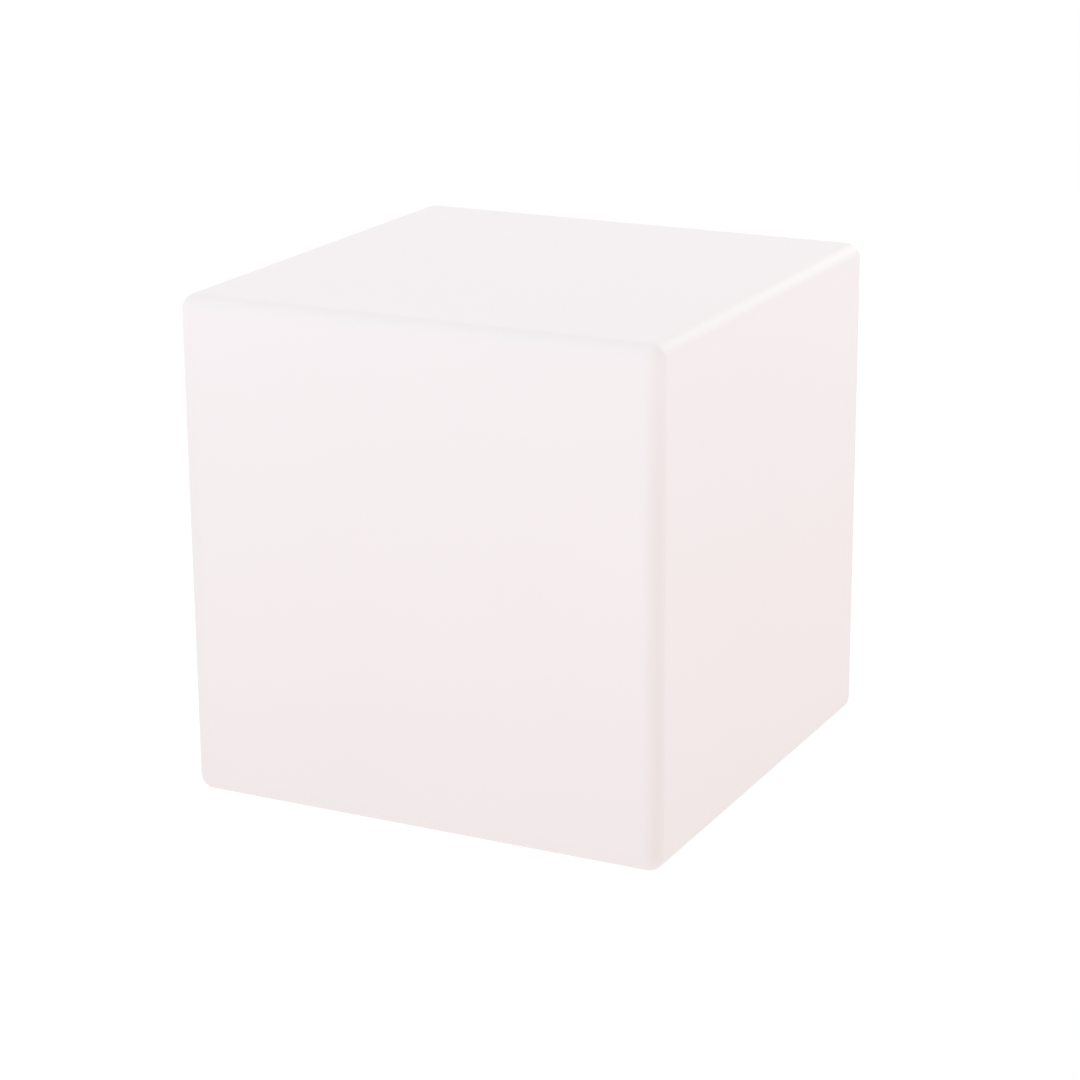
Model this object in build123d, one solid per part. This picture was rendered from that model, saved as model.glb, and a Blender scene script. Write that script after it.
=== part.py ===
from build123d import *
import os
from math import atan2, cos, degrees, hypot, pi, radians, sin, tan

# A battery cube light: a hollow moulded plastic cube that stands on four rubber feet, with a round
# light unit screwed into a recess in its underside.  The unit holds the LED board, the battery, the
# control board, the power button and the charging socket with its dust cap.
#
# Millimetres.  +Z is up and z = 0 is the surface that the feet stand on.  The origin is under the
# middle of the cube.  The front face looks along -Y, and +X is to the right of somebody facing it.

# ------------------------------------------------------------------ driving sizes: shell and feet
cube_side = 400.0
edge_radius = 12.0
shell_wall = 3.5
recess_depth = 16.0
recess_clearance = 5.0
recess_mouth_round = 4.0
recess_corner_round = 2.0
opening_clearance = 1.5
opening_edge_round = 0.8

foot_radius = 14.0
foot_thickness = 3.0
foot_pocket_depth = 1.0
foot_pocket_clearance = 0.2
foot_inset = 38.0
foot_edge_round = 0.8

# ------------------------------------------------------------------ driving sizes: flange fixing
flange_screw_count = 6
flange_screw_radius = 2.0
flange_screw_overrun = 0.5
flange_screw_head_radius = 4.0
flange_screw_head_height = 2.2
screw_clearance = 0.25
thread_clearance = 0.05
insert_radius = 3.2
insert_length = 10.0
insert_groove_depth = 0.4
insert_groove_width = 1.6
insert_edge_wall = 2.8
boss_wall = 3.8
boss_end = 4.0
screw_end_room = 1.5

# ------------------------------------------------------------------ driving sizes: light unit base
plate_margin = 2.0
plate_thickness = 3.5
plate_edge_round = 1.2
face_groove_inset = 1.5
face_groove_width = 1.4
face_groove_depth = 0.6
gasket_thickness = 2.0
gasket_clearance = 0.7
spigot_rise = 0.5

# ------------------------------------------------------------------ driving sizes: cover
cover_wall = 2.0
cover_clearance = 3.5
cover_headroom = 8.6
cover_flange_thickness = 3.0
cover_rim = 0.4
cover_crown = 4.0
cover_shoulder_round = 14.0
cover_screw_count = 6
cover_screw_gap = 0.7
cover_screw_radius = 1.4
cover_screw_length = 9.0
cover_screw_head_radius = 2.7
cover_screw_head_height = 1.8
seal_wall = 2.2
seal_width = 2.2
seal_depth = 1.5
seal_side_clearance = 0.1

# ------------------------------------------------------------------ driving sizes: LED board
led_board_clearance = 1.5
led_board_headroom = 13.6
led_board_thickness = 1.6
standoff_boss_height = 4.0
standoff_radius = 3.0
standoff_edge = 4.0
standoff_clearance = 1.0
led_outer_count = 12
led_outer_circle = 36.0
led_inner_count = 6
led_inner_circle = 21.0
led_side = 5.0
led_height = 1.6
led_lens_radius = 2.1
led_lens_depth = 0.3
receiver_width = 6.0
receiver_depth = 4.4
receiver_height = 6.0
receiver_lens_radius = 1.8
receiver_x = 9.0
receiver_y = 2.0

# ------------------------------------------------------------------ driving sizes: small screws
board_screw_radius = 1.25
board_screw_length = 6.0
board_screw_head_radius = 2.3
board_screw_head_height = 1.6
cross_slot_width = 0.7
cross_slot_share = 0.55

# ------------------------------------------------------------------ driving sizes: control board
control_board_length = 48.0
control_board_width = 28.0
control_board_thickness = 1.6
control_board_x = -10.0
control_board_y = -20.0
control_post_radius = 3.0
control_post_inset = 3.0
control_chip_length = 10.0
control_chip_width = 4.0
control_chip_x = -10.0
control_chip_y = -2.0
charge_chip_length = 5.0
charge_chip_x = 4.0
charge_chip_y = -9.0
chip_height = 1.6
chip_leg_reach = 1.0
driver_length = 3.0
driver_width = 1.6
driver_height = 1.2
driver_count = 4
driver_pitch = 5.0
driver_gap = 1.2
driver_y = -9.0
coil_side = 6.0
coil_height = 3.0
coil_x = 3.0
coil_y = 0.0
capacitor_radius = 3.2
capacitor_height = 7.5
capacitor_foot_height = 0.6
capacitor_x = 11.0
capacitor_y = -9.0

# ------------------------------------------------------------------ driving sizes: battery
cell_radius = 9.2
cell_length = 65.0
cell_tip_radius = 2.8
cell_tip_height = 1.0
cell_gap = 0.3
pack_x = -1.0
pack_y = 17.5
pack_lift = 2.0
pack_corner_clearance = 0.25
tab_thickness = 0.2
tab_width = 8.0
guard_board_thickness = 1.2
guard_board_margin = 0.6
sleeve_thickness = 0.3
sleeve_clearance = 0.05
sleeve_overhang = 1.5
saddle_thickness = 2.5
saddle_spacing = 44.0
saddle_clearance = 0.1
strap_width = 12.0
strap_thickness = 1.2
strap_clearance = 0.1
strap_foot_length = 8.0
strap_boss_height = 2.0

# ------------------------------------------------------------------ driving sizes: power button
button_x = -24.0
button_y = -20.0
button_radius = 7.0
button_clearance = 0.08
button_proud = 1.5
button_flange_width = 1.5
button_flange_thickness = 1.2
button_travel = 1.2
button_dish_depth = 0.35
button_edge_round = 0.5
button_collar_width = 3.0
button_collar_height = 1.5
button_seal_height = 1.4
button_seal_depth = 0.9
power_mark_radius = 3.0
power_mark_width = 0.7
power_mark_depth = 0.3
power_mark_gap = 70.0
plunger_radius = 1.7
plunger_socket_wall = 1.3
plunger_socket_depth = 2.3
switch_side = 9.0
switch_height = 7.0
spring_wire_radius = 0.35
spring_radius = 3.9
spring_height = 4.8
spring_turns = 3.5

# ------------------------------------------------------------------ driving sizes: charging socket
jack_x = 24.0
jack_y = -20.0
jack_flange_radius = 7.0
jack_flange_thickness = 2.0
jack_barrel_radius = 5.5
jack_barrel_length = 13.5
jack_hole_clearance = 0.15
jack_washer_thickness = 0.8
jack_nut_flats = 14.0
jack_nut_thickness = 2.5
jack_insulator_radius = 4.0
jack_bore_radius = 2.85
jack_bore_depth = 9.5
jack_pin_radius = 1.05
jack_pin_recess = 1.2
jack_pin_tip_round = 0.5
jack_pin_root_width = 0.35
jack_insulator_tail = 2.0
jack_lug_length = 4.0
jack_lug_width = 2.4
jack_lug_thickness = 0.6
jack_lug_grip = 2.0
polarity_mark_y = 17.0
polarity_mark_pitch = 5.5
polarity_mark_radius = 1.6
polarity_mark_width = 0.5
polarity_mark_depth = 0.3

# ------------------------------------------------------------------ driving sizes: dust cap
cap_clearance = 0.3
cap_wall = 1.6
cap_top = 1.4
cap_stem_depth = 0.9
cap_stem_clearance = 0.3
cap_hinge_offset = 12.0
cap_strap_width = 6.0
cap_strap_thickness = 1.2
cap_hinge_gap = 0.15
cap_hinge_open_angle = 105.0
cap_tab_length = 3.0
cap_tab_width = 7.0
anchor_length = 9.0
anchor_rivet_radius = 2.0
anchor_head_radius = 3.2
anchor_head_thickness = 1.3

# ------------------------------------------------------------------ driving sizes: indicator
indicator_x = 0.0
indicator_y = -26.0
light_pipe_radius = 1.5
light_pipe_collar_radius = 2.6
light_pipe_collar_height = 1.0
charge_lamp_length = 3.5
charge_lamp_width = 2.8
charge_lamp_height = 1.9
light_pipe_gap = 0.5

# ------------------------------------------------------------------ driving sizes: plugs and leads
socket_height = 6.0
socket_depth = 7.0
socket_wire_pitch = 2.4
socket_wall = 1.8
socket_overhang = 0.5
battery_socket_offset_y = 5.0
jack_socket_offset_y = -2.2
battery_lead_swing = 11.0
battery_lead_turn = 12.0
battery_lead_approach = 17.5
jack_lead_rise = 15.0
led_wire_count = 5
led_wire_pitch = 2.0
led_wire_radius = 0.65
power_wire_radius = 0.75
led_slot_clearance = 1.0
led_lead_x = -8.0
led_lead_y = -10.0
led_lead_reach = 10.0

# ------------------------------------------------------------------ heights, worked out
underside_z = foot_thickness - foot_pocket_depth
top_z = underside_z + cube_side
recess_ceiling_z = underside_z + recess_depth
plate_inner_z = recess_ceiling_z - gasket_thickness
plate_face_z = plate_inner_z - plate_thickness
spigot_top_z = recess_ceiling_z + shell_wall + spigot_rise
cover_flange_top_z = spigot_top_z + cover_flange_thickness
switch_bottom_z = plate_inner_z + button_flange_thickness + spring_height
control_board_z = switch_bottom_z + switch_height
control_board_top_z = control_board_z + control_board_thickness
sleeve_radius = cell_radius + sleeve_clearance + sleeve_thickness
cell_z = plate_inner_z + pack_lift + sleeve_radius
strap_foot_z = plate_inner_z + strap_boss_height
strap_top_z = cell_z + sleeve_radius + strap_clearance + strap_thickness
led_board_z = strap_top_z + led_board_headroom
led_board_top_z = led_board_z + led_board_thickness
cover_top_z = led_board_top_z + receiver_height + receiver_lens_radius + cover_headroom + cover_wall

# ------------------------------------------------------------------ lengths and radii, worked out
foot_offset = cube_side / 2 - foot_inset
flange_screw_length = plate_thickness + gasket_thickness + insert_length + flange_screw_overrun
cell_pitch = 2 * cell_radius + cell_gap
pack_half_width = cell_pitch / 2 + sleeve_radius
guard_board_x = pack_x + cell_length / 2 + cell_tip_height + tab_thickness
sleeve_left_x = pack_x - cell_length / 2 - tab_thickness - sleeve_overhang
sleeve_right_x = guard_board_x + guard_board_thickness + sleeve_overhang
pack_reach = hypot(max(-sleeve_left_x, sleeve_right_x), pack_y + pack_half_width)
spigot_bore_radius = pack_reach + pack_corner_clearance
led_board_radius = spigot_bore_radius - led_board_clearance
standoff_circle = led_board_radius - standoff_edge
seal_circle = spigot_bore_radius + seal_wall + seal_side_clearance + seal_width / 2
cover_radius = led_board_radius + cover_clearance + cover_wall
cover_screw_circle = cover_radius + cover_screw_gap + cover_screw_head_radius
spigot_radius = cover_screw_circle + cover_screw_head_radius + cover_rim
opening_radius = spigot_radius + opening_clearance
flange_screw_circle = opening_radius + insert_edge_wall + insert_radius
plate_radius = flange_screw_circle + flange_screw_head_radius + plate_margin
recess_radius = plate_radius + recess_clearance


# ------------------------------------------------------------------ plain shapes
def rod(radius, low, high, x=0.0, y=0.0):
    """An upright cylinder from one height to another."""
    return Pos(x, y, low) * Cylinder(radius, high - low, align=(Align.CENTER, Align.CENTER, Align.MIN))


def ring(inner, outer, low, high, x=0.0, y=0.0):
    return rod(outer, low, high, x, y) - rod(inner, low, high, x, y)


def block(length, width, low, high, x=0.0, y=0.0):
    """An upright block centred on x and y."""
    return Pos(x, y, low) * Box(length, width, high - low, align=(Align.CENTER, Align.CENTER, Align.MIN))


def on_circle(radius, count, first=0.0):
    """Points spread evenly round the middle of the unit."""
    for i in range(count):
        angle = radians(first + 360.0 * i / count)
        yield radius * cos(angle), radius * sin(angle)


def circles_at(shape, radius, height):
    """The shape's round edges of one radius at one height."""
    return [
        edge
        for edge in shape.edges().filter_by(GeomType.CIRCLE)
        if abs(edge.radius - radius) < 1e-4 and abs(edge.arc_center.Z - height) < 1e-4
    ]


def joined(shapes):
    """Several separate solids as one node."""
    return Compound(children=[solid for shape in shapes for solid in shape.solids()])


def cross_recess(head_radius, depth):
    """The cross slot in a screw head, open downwards at z = 0."""
    reach = 2 * head_radius * cross_slot_share
    return block(reach, cross_slot_width, 0, depth) + block(cross_slot_width, reach, 0, depth)


def pan_screw(radius, length, head_radius, head_height):
    """A round-headed screw, its head's seat at z = 0, its shank down and its head up."""
    head = fillet(rod(head_radius, 0, head_height).edges().group_by(Axis.Z)[-1], 0.6 * head_height)
    slot = Pos(0, 0, head_height) * Rot(180, 0, 0) * cross_recess(head_radius, 0.5 * head_height)
    tip = chamfer(rod(radius, -length, 0).edges().group_by(Axis.Z)[0], 0.4 * radius)
    return tip + head - slot


def countersunk_screw(radius, length, head_radius, head_height):
    """A flat-headed screw, its head's face down at z = 0 and its shank up."""
    head = Cone(head_radius, radius, head_height, align=(Align.CENTER, Align.CENTER, Align.MIN))
    shank = chamfer(rod(radius, 0, length).edges().group_by(Axis.Z)[-1], 0.4 * radius)
    return head + shank - cross_recess(head_radius, 0.7 * head_height)


def bend_radii(points):
    """The arc at each corner of a lead: 0.45 of its shorter run, over the tangent of half its turn."""
    radii = []
    for before, corner, after in zip(points, points[1:], points[2:]):
        first, second = Vector(corner) - Vector(before), Vector(after) - Vector(corner)
        half_turn = radians(first.get_angle(second)) / 2
        radii.append(0.45 * min(first.length, second.length) / tan(half_turn))
    return radii


def tube(points, radius):
    """A lead along straight runs joined by tangent arcs."""
    path = FilletPolyline(*points, radius=bend_radii(points)) if len(points) > 2 else Line(*points)
    return sweep(Plane(path @ 0, z_dir=path % 0) * Circle(radius), path=path)


# ------------------------------------------------------------------ shell, feet and inserts
def cube_shell():
    """The moulded cube: an even wall, a stepped recess with an opening, six bosses, four foot pockets."""
    middle = underside_z + cube_side / 2
    outer = Pos(0, 0, middle) * Box(cube_side, cube_side, cube_side)
    outer = fillet(outer.edges(), edge_radius)
    inside = cube_side - 2 * shell_wall
    hollow = Pos(0, 0, middle) * Box(inside, inside, inside)
    hollow = fillet(hollow.edges(), max(edge_radius - shell_wall, 1.0))
    shell = outer - hollow

    seat_top_z = recess_ceiling_z + shell_wall
    well = rod(recess_radius + shell_wall, underside_z, seat_top_z)
    shell += fillet(circles_at(well, recess_radius + shell_wall, seat_top_z), shell_wall)
    boss_radius = insert_radius + boss_wall
    boss_top_z = recess_ceiling_z + insert_length + screw_end_room + boss_end
    for x, y in on_circle(flange_screw_circle, flange_screw_count):
        boss = rod(boss_radius, recess_ceiling_z, boss_top_z, x, y)
        shell += fillet(circles_at(boss, boss_radius, boss_top_z), 0.5 * boss_radius)

    recess = rod(recess_radius, underside_z, recess_ceiling_z)
    shell -= fillet(circles_at(recess, recess_radius, recess_ceiling_z), recess_corner_round)
    shell -= rod(opening_radius, underside_z, boss_top_z)
    for x, y in on_circle(flange_screw_circle, flange_screw_count):
        shell -= rod(insert_radius, recess_ceiling_z, recess_ceiling_z + insert_length, x, y)
        shell -= rod(
            flange_screw_radius + screw_clearance,
            recess_ceiling_z,
            recess_ceiling_z + insert_length + screw_end_room,
            x,
            y,
        )
    for x, y in foot_places().values():
        shell -= rod(foot_radius + foot_pocket_clearance, underside_z, foot_thickness, x, y)
    shell = fillet(circles_at(shell, recess_radius, underside_z), recess_mouth_round)
    return fillet(circles_at(shell, opening_radius, recess_ceiling_z), opening_edge_round)


def foot_places():
    return {
        "front_left": (-foot_offset, -foot_offset),
        "front_right": (foot_offset, -foot_offset),
        "back_left": (-foot_offset, foot_offset),
        "back_right": (foot_offset, foot_offset),
    }


def foot(x, y):
    pad = rod(foot_radius, 0, foot_thickness, x, y)
    return fillet(circles_at(pad, foot_radius, 0), foot_edge_round)


def flange_inserts():
    """Brass inserts, each with a groove that the moulded plastic locks into."""
    inserts = []
    low, high = recess_ceiling_z, recess_ceiling_z + insert_length
    middle = (low + high) / 2
    for x, y in on_circle(flange_screw_circle, flange_screw_count):
        insert = ring(flange_screw_radius + thread_clearance, insert_radius, low, high, x, y)
        for side in (-1, 1):
            groove = middle + side * insert_groove_width
            insert -= ring(
                insert_radius - insert_groove_depth,
                insert_radius,
                groove - insert_groove_width / 2,
                groove + insert_groove_width / 2,
                x,
                y,
            )
        inserts.append(insert)
    return joined(inserts)


def flange_screws():
    screw = countersunk_screw(
        flange_screw_radius, flange_screw_length, flange_screw_head_radius, flange_screw_head_height
    )
    return joined([Pos(x, y, plate_face_z) * screw for x, y in on_circle(flange_screw_circle, flange_screw_count)])


def unit_gasket():
    gasket = ring(spigot_radius + gasket_clearance, plate_radius - gasket_clearance, plate_inner_z, recess_ceiling_z)
    for x, y in on_circle(flange_screw_circle, flange_screw_count):
        gasket -= rod(flange_screw_radius + screw_clearance, plate_inner_z, recess_ceiling_z, x, y)
    return gasket


# ------------------------------------------------------------------ light unit base
def control_post_places():
    half_length = control_board_length / 2 - control_post_inset
    half_width = control_board_width / 2 - control_post_inset
    for side_x in (-1, 1):
        for side_y in (-1, 1):
            yield control_board_x + side_x * half_length, control_board_y + side_y * half_width


def standoff_places():
    """Four places on one circle, just past the ends of the battery pack."""
    x = max(-sleeve_left_x, sleeve_right_x) + standoff_clearance + standoff_radius
    y = (standoff_circle**2 - x**2) ** 0.5
    for side_x in (-1, 1):
        for side_y in (-1, 1):
            yield side_x * x, side_y * y


def strap_foot_places():
    """The middles in y of the strap's two feet, in front of the pack and behind it."""
    reach = pack_half_width + strap_clearance + strap_foot_length / 2
    return pack_y - reach, pack_y + reach


def anchor_rivet_y():
    return jack_y - cap_hinge_offset - anchor_length / 2


def saddle(x):
    """A rib shaped to the underside of both cells."""
    width = 2 * pack_half_width - 4
    rib = block(saddle_thickness, width, plate_inner_z, cell_z - 0.25 * cell_radius, x, pack_y)
    return rib - pack_outline(sleeve_radius + saddle_clearance, 2 * saddle_thickness, x)


def pack_outline(radius, length, x=0.0):
    """The rounded slot shape that goes round both cells, drawn out along X."""
    outline = Plane.YZ * SlotCenterToCenter(cell_pitch, radius * 2)
    return Pos(x - length / 2, pack_y, cell_z) * extrude(outline, length)


def unit_base():
    """The base plate: flange, spigot ring, posts, saddles and bosses, with the bores of what it carries."""
    plate = rod(plate_radius, plate_face_z, plate_inner_z)
    plate = fillet(circles_at(plate, plate_radius, plate_face_z), plate_edge_round)
    collar_radius = button_radius + button_clearance + button_collar_width
    collar_face_z = plate_face_z - button_collar_height
    collar = rod(collar_radius, collar_face_z, plate_face_z, button_x, button_y)
    base = plate + fillet(circles_at(collar, collar_radius, collar_face_z), 0.5 * button_collar_height)
    base += ring(spigot_bore_radius, spigot_radius, plate_inner_z, spigot_top_z)
    for x, y in control_post_places():
        base += rod(control_post_radius, plate_inner_z, control_board_z, x, y)
    for x, y in standoff_places():
        base += rod(standoff_radius, plate_inner_z, plate_inner_z + standoff_boss_height, x, y)
    for side in (-1, 1):
        base += saddle(pack_x + side * saddle_spacing / 2)
    for y in strap_foot_places():
        base += block(strap_width, strap_foot_length, plate_inner_z, strap_foot_z, 0, y)

    groove_radius = spigot_radius - face_groove_inset
    base -= ring(groove_radius, groove_radius + face_groove_width, plate_face_z, plate_face_z + face_groove_depth)
    base -= polarity_mark()
    groove = seal_width / 2 + seal_side_clearance
    base -= ring(seal_circle - groove, seal_circle + groove, spigot_top_z - seal_depth, spigot_top_z)
    pilot_low_z = cover_flange_top_z - cover_screw_length - screw_end_room
    for x, y in on_circle(cover_screw_circle, cover_screw_count):
        base -= rod(cover_screw_radius + thread_clearance, pilot_low_z, spigot_top_z, x, y)
    for x, y in on_circle(flange_screw_circle, flange_screw_count):
        base -= rod(flange_screw_radius + screw_clearance, plate_face_z, plate_inner_z, x, y)
        base -= Pos(x, y, plate_face_z) * Cone(
            flange_screw_head_radius + thread_clearance,
            flange_screw_radius + thread_clearance,
            flange_screw_head_height,
            align=(Align.CENTER, Align.CENTER, Align.MIN),
        )
    for x, y in control_post_places():
        depth = board_screw_length - control_board_thickness + screw_end_room
        base -= rod(board_screw_radius + thread_clearance, control_board_z - depth, control_board_z, x, y)
    boss_top_z = plate_inner_z + standoff_boss_height
    for x, y in standoff_places():
        base -= rod(board_screw_radius + thread_clearance, boss_top_z - standoff_stud_length(), boss_top_z, x, y)
    for y in strap_foot_places():
        base -= rod(board_screw_radius + thread_clearance, strap_pilot_z(), strap_foot_z, 0, y)
    base -= rod(button_radius + button_clearance, collar_face_z, plate_inner_z, button_x, button_y)
    base -= rod(jack_barrel_radius + jack_hole_clearance, plate_face_z, plate_inner_z, jack_x, jack_y)
    base -= rod(light_pipe_radius + thread_clearance, plate_face_z, plate_inner_z, indicator_x, indicator_y)
    return base - rod(anchor_rivet_radius + thread_clearance, plate_face_z, plate_inner_z, jack_x, anchor_rivet_y())


def standoff_stud_length():
    """The spacer's lower stud, which stops above the plate's outer face."""
    return standoff_boss_height + 0.4 * plate_thickness


def strap_pilot_z():
    """The floor of the strap's screw holes, with some of the plate left under it."""
    return plate_face_z + 0.35 * plate_thickness


# ------------------------------------------------------------------ cover, its seal and screws
def cup(radius, top, ball, shoulder):
    """A round-shouldered plug from the spigot's top, with a crown cut from a large ball."""
    plug = rod(radius, spigot_top_z, top) & Pos(0, 0, top - ball) * Sphere(ball)
    edge_z = top - ball + (ball**2 - radius**2) ** 0.5
    return fillet(circles_at(plug, radius, edge_z), shoulder)


def diffuser_cover():
    """A frosted cup: a flange, a plain wall and a slightly crowned top."""
    ball = (cover_radius**2 + cover_crown**2) / (2 * cover_crown)
    cover = cup(cover_radius, cover_top_z, ball, cover_shoulder_round)
    cover += rod(spigot_radius, spigot_top_z, cover_flange_top_z)
    cover -= cup(
        cover_radius - cover_wall, cover_top_z - cover_wall, ball - cover_wall, cover_shoulder_round - cover_wall
    )
    for x, y in on_circle(cover_screw_circle, cover_screw_count):
        cover -= rod(cover_screw_radius + screw_clearance, spigot_top_z, cover_flange_top_z, x, y)
    return cover


def cover_seal():
    low, high = spigot_top_z - seal_depth, spigot_top_z
    seal = ring(seal_circle - seal_width / 2, seal_circle + seal_width / 2, low, high)
    return fillet(seal.edges().filter_by(GeomType.CIRCLE), 0.3 * seal_depth)


def cover_screws():
    screw = pan_screw(cover_screw_radius, cover_screw_length, cover_screw_head_radius, cover_screw_head_height)
    return joined(
        [Pos(x, y, cover_flange_top_z) * screw for x, y in on_circle(cover_screw_circle, cover_screw_count)]
    )


# ------------------------------------------------------------------ LED board
def led_slot():
    """The slot that the LED lead comes up through."""
    length = led_wire_count * led_wire_pitch + led_slot_clearance
    width = 2 * led_wire_radius + 2 * led_slot_clearance
    slot = block(length, width, led_board_z, led_board_top_z, led_lead_x, led_lead_y)
    return fillet(slot.edges().filter_by(Axis.Z), 0.3 * width)


def led_board():
    board = rod(led_board_radius, led_board_z, led_board_top_z)
    for x, y in standoff_places():
        board -= rod(board_screw_radius + screw_clearance, led_board_z, led_board_top_z, x, y)
    return board - led_slot()


def led_board_standoffs():
    """Hexagonal spacers, each with a stud below and a threaded hole above."""
    low, high = plate_inner_z + standoff_boss_height, led_board_z
    spacers = []
    for x, y in standoff_places():
        spacer = Pos(x, y, low) * extrude(RegularPolygon(standoff_radius, 6), high - low)
        spacer += rod(board_screw_radius, low - standoff_stud_length() + screw_end_room, low, x, y)
        depth = board_screw_length - led_board_thickness + screw_end_room
        spacer -= rod(board_screw_radius + thread_clearance, high - depth, high, x, y)
        spacers.append(spacer)
    return joined(spacers)


def board_screw():
    return pan_screw(board_screw_radius, board_screw_length, board_screw_head_radius, board_screw_head_height)


def led_board_screws():
    screw = board_screw()
    return joined([Pos(x, y, led_board_top_z) * screw for x, y in standoff_places()])


def leds():
    """Square LED packages in two rings, each with a shallow round window."""
    package = block(led_side, led_side, 0, led_height) - rod(led_lens_radius, led_height - led_lens_depth, led_height)
    placed = []
    for circle, count, first in ((led_outer_circle, led_outer_count, 0.0), (led_inner_circle, led_inner_count, 0.0)):
        for x, y in on_circle(circle, count, first):
            turn = degrees(atan2(y, x))
            placed.append(Pos(x, y, led_board_top_z) * Rot(0, 0, turn) * package)
    return joined(placed)


def remote_receiver():
    """A small moulded package with a round lens in its top."""
    body = block(
        receiver_width,
        receiver_depth,
        led_board_top_z,
        led_board_top_z + receiver_height,
        receiver_x,
        receiver_y,
    )
    return body + Pos(receiver_x, receiver_y, led_board_top_z + receiver_height) * Sphere(receiver_lens_radius)


def led_socket_block(low, x, y):
    """A plug housing as long as the LED lead is wide."""
    length = led_wire_count * led_wire_pitch + 2 * socket_wall
    return chamfer(
        block(length, socket_height, low, low + socket_height, x, y).edges().filter_by(Axis.Z), 0.1 * socket_height
    )


def led_board_socket():
    return led_socket_block(led_board_top_z, led_lead_x, led_lead_y + led_lead_reach + socket_height / 2)


def led_lead():
    """Five wires side by side, up from the control board, through the slot and over into the socket."""
    wires = []
    low = control_board_top_z + socket_height
    over = led_board_top_z + socket_height / 2
    for i in range(led_wire_count):
        x = led_lead_x + (i - (led_wire_count - 1) / 2) * led_wire_pitch
        route = [(x, led_lead_y, low), (x, led_lead_y, over), (x, led_lead_y + led_lead_reach, over)]
        wires.append(tube(route, led_wire_radius))
    return joined(wires)


# ------------------------------------------------------------------ control board
def control_board():
    board = block(
        control_board_length,
        control_board_width,
        control_board_z,
        control_board_top_z,
        control_board_x,
        control_board_y,
    )
    for x, y in control_post_places():
        board -= rod(board_screw_radius + screw_clearance, control_board_z, control_board_top_z, x, y)
    return board


def control_board_screws():
    screw = board_screw()
    return joined([Pos(x, y, control_board_top_z) * screw for x, y in control_post_places()])


def legged_chip(length, width, height, legs, x, y):
    """A flat chip with a row of legs along each long side, placed from the board's middle."""
    low = control_board_top_z
    x, y = control_board_x + x, control_board_y + y
    chip = block(length, width, low, low + height, x, y)
    pitch = length / legs
    for i in range(legs):
        leg_x = x + (i - (legs - 1) / 2) * pitch
        for side in (-1, 1):
            leg_y = y + side * (width + chip_leg_reach) / 2
            chip += block(0.4 * pitch, chip_leg_reach, low, low + 0.5 * height, leg_x, leg_y)
    return chip


def control_chip():
    return legged_chip(control_chip_length, control_chip_width, chip_height, 8, control_chip_x, control_chip_y)


def charge_chip():
    return legged_chip(charge_chip_length, control_chip_width, chip_height, 4, charge_chip_x, charge_chip_y)


def led_drivers():
    """Power transistors in a row beside the front left screw, one for each colour of the LEDs."""
    start_x = control_post_inset - control_board_length / 2 + board_screw_head_radius + driver_gap
    row = []
    for i in range(driver_count):
        x = start_x + driver_length / 2 + i * driver_pitch
        row.append(legged_chip(driver_length, driver_width, driver_height, 2, x, driver_y))
    return joined(row)


def power_coil():
    low = control_board_top_z
    coil = block(coil_side, coil_side, low, low + coil_height, control_board_x + coil_x, control_board_y + coil_y)
    return chamfer(coil.edges().filter_by(Axis.Z), 0.2 * coil_side)


def storage_capacitor():
    x, y = control_board_x + capacitor_x, control_board_y + capacitor_y
    can_z = control_board_top_z + capacitor_foot_height
    can = rod(capacitor_radius, can_z, control_board_top_z + capacitor_height, x, y)
    foot_side = 2.06 * capacitor_radius
    foot_block = block(foot_side, foot_side, control_board_top_z, can_z, x, y)
    return foot_block + fillet(can.edges().group_by(Axis.Z)[-1], 0.15 * capacitor_radius)


def socket_face_x():
    """Where the leads enter the battery's socket, a little outside the board's edge."""
    return control_board_x + control_board_length / 2 + socket_overhang


def battery_socket():
    """A plug housing that takes two wires from the side."""
    width = socket_wire_pitch + 2 * socket_wall
    x, y = socket_face_x() - socket_depth / 2, battery_socket_y()
    housing = block(socket_depth, width, control_board_top_z, control_board_top_z + socket_height, x, y)
    return chamfer(housing.edges().filter_by(Axis.X), 0.08 * socket_height)


def battery_socket_y():
    return control_board_y + battery_socket_offset_y


def jack_socket_place():
    x = control_board_x + control_board_length / 2 - socket_height / 2
    return x, control_board_y + jack_socket_offset_y


def jack_socket():
    """A plug housing that takes two wires from above."""
    x, y = jack_socket_place()
    width = socket_wire_pitch + 2 * socket_wall
    housing = block(socket_height, width, control_board_top_z, control_board_top_z + socket_height, x, y)
    return chamfer(housing.edges().filter_by(Axis.Z), 0.08 * socket_height)


def charge_lamp():
    return block(
        charge_lamp_length,
        charge_lamp_width,
        control_board_z - charge_lamp_height,
        control_board_z,
        indicator_x,
        indicator_y,
    )


def indicator_light_pipe():
    """A clear pin, flush outside, with a collar that seats on the plate."""
    top = control_board_z - charge_lamp_height - light_pipe_gap
    pin = rod(light_pipe_radius, plate_face_z, top, indicator_x, indicator_y)
    collar = rod(
        light_pipe_collar_radius, plate_inner_z, plate_inner_z + light_pipe_collar_height, indicator_x, indicator_y
    )
    return pin + collar


# ------------------------------------------------------------------ battery pack
def battery_cell(side):
    """A cylindrical cell along X, with its raised tip at +X."""
    y = pack_y + side * cell_pitch / 2
    half = cell_length / 2
    can = fillet(Cylinder(cell_radius, cell_length).edges(), 0.6)
    tip = Pos(0, 0, half + cell_tip_height / 2) * Cylinder(cell_tip_radius, cell_tip_height)
    groove = Pos(0, 0, half - 3) * (Cylinder(cell_radius, 0.8) - Cylinder(cell_radius - 0.4, 0.8))
    return Pos(pack_x, y, cell_z) * Rot(0, 90, 0) * (can + tip - groove)


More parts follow.
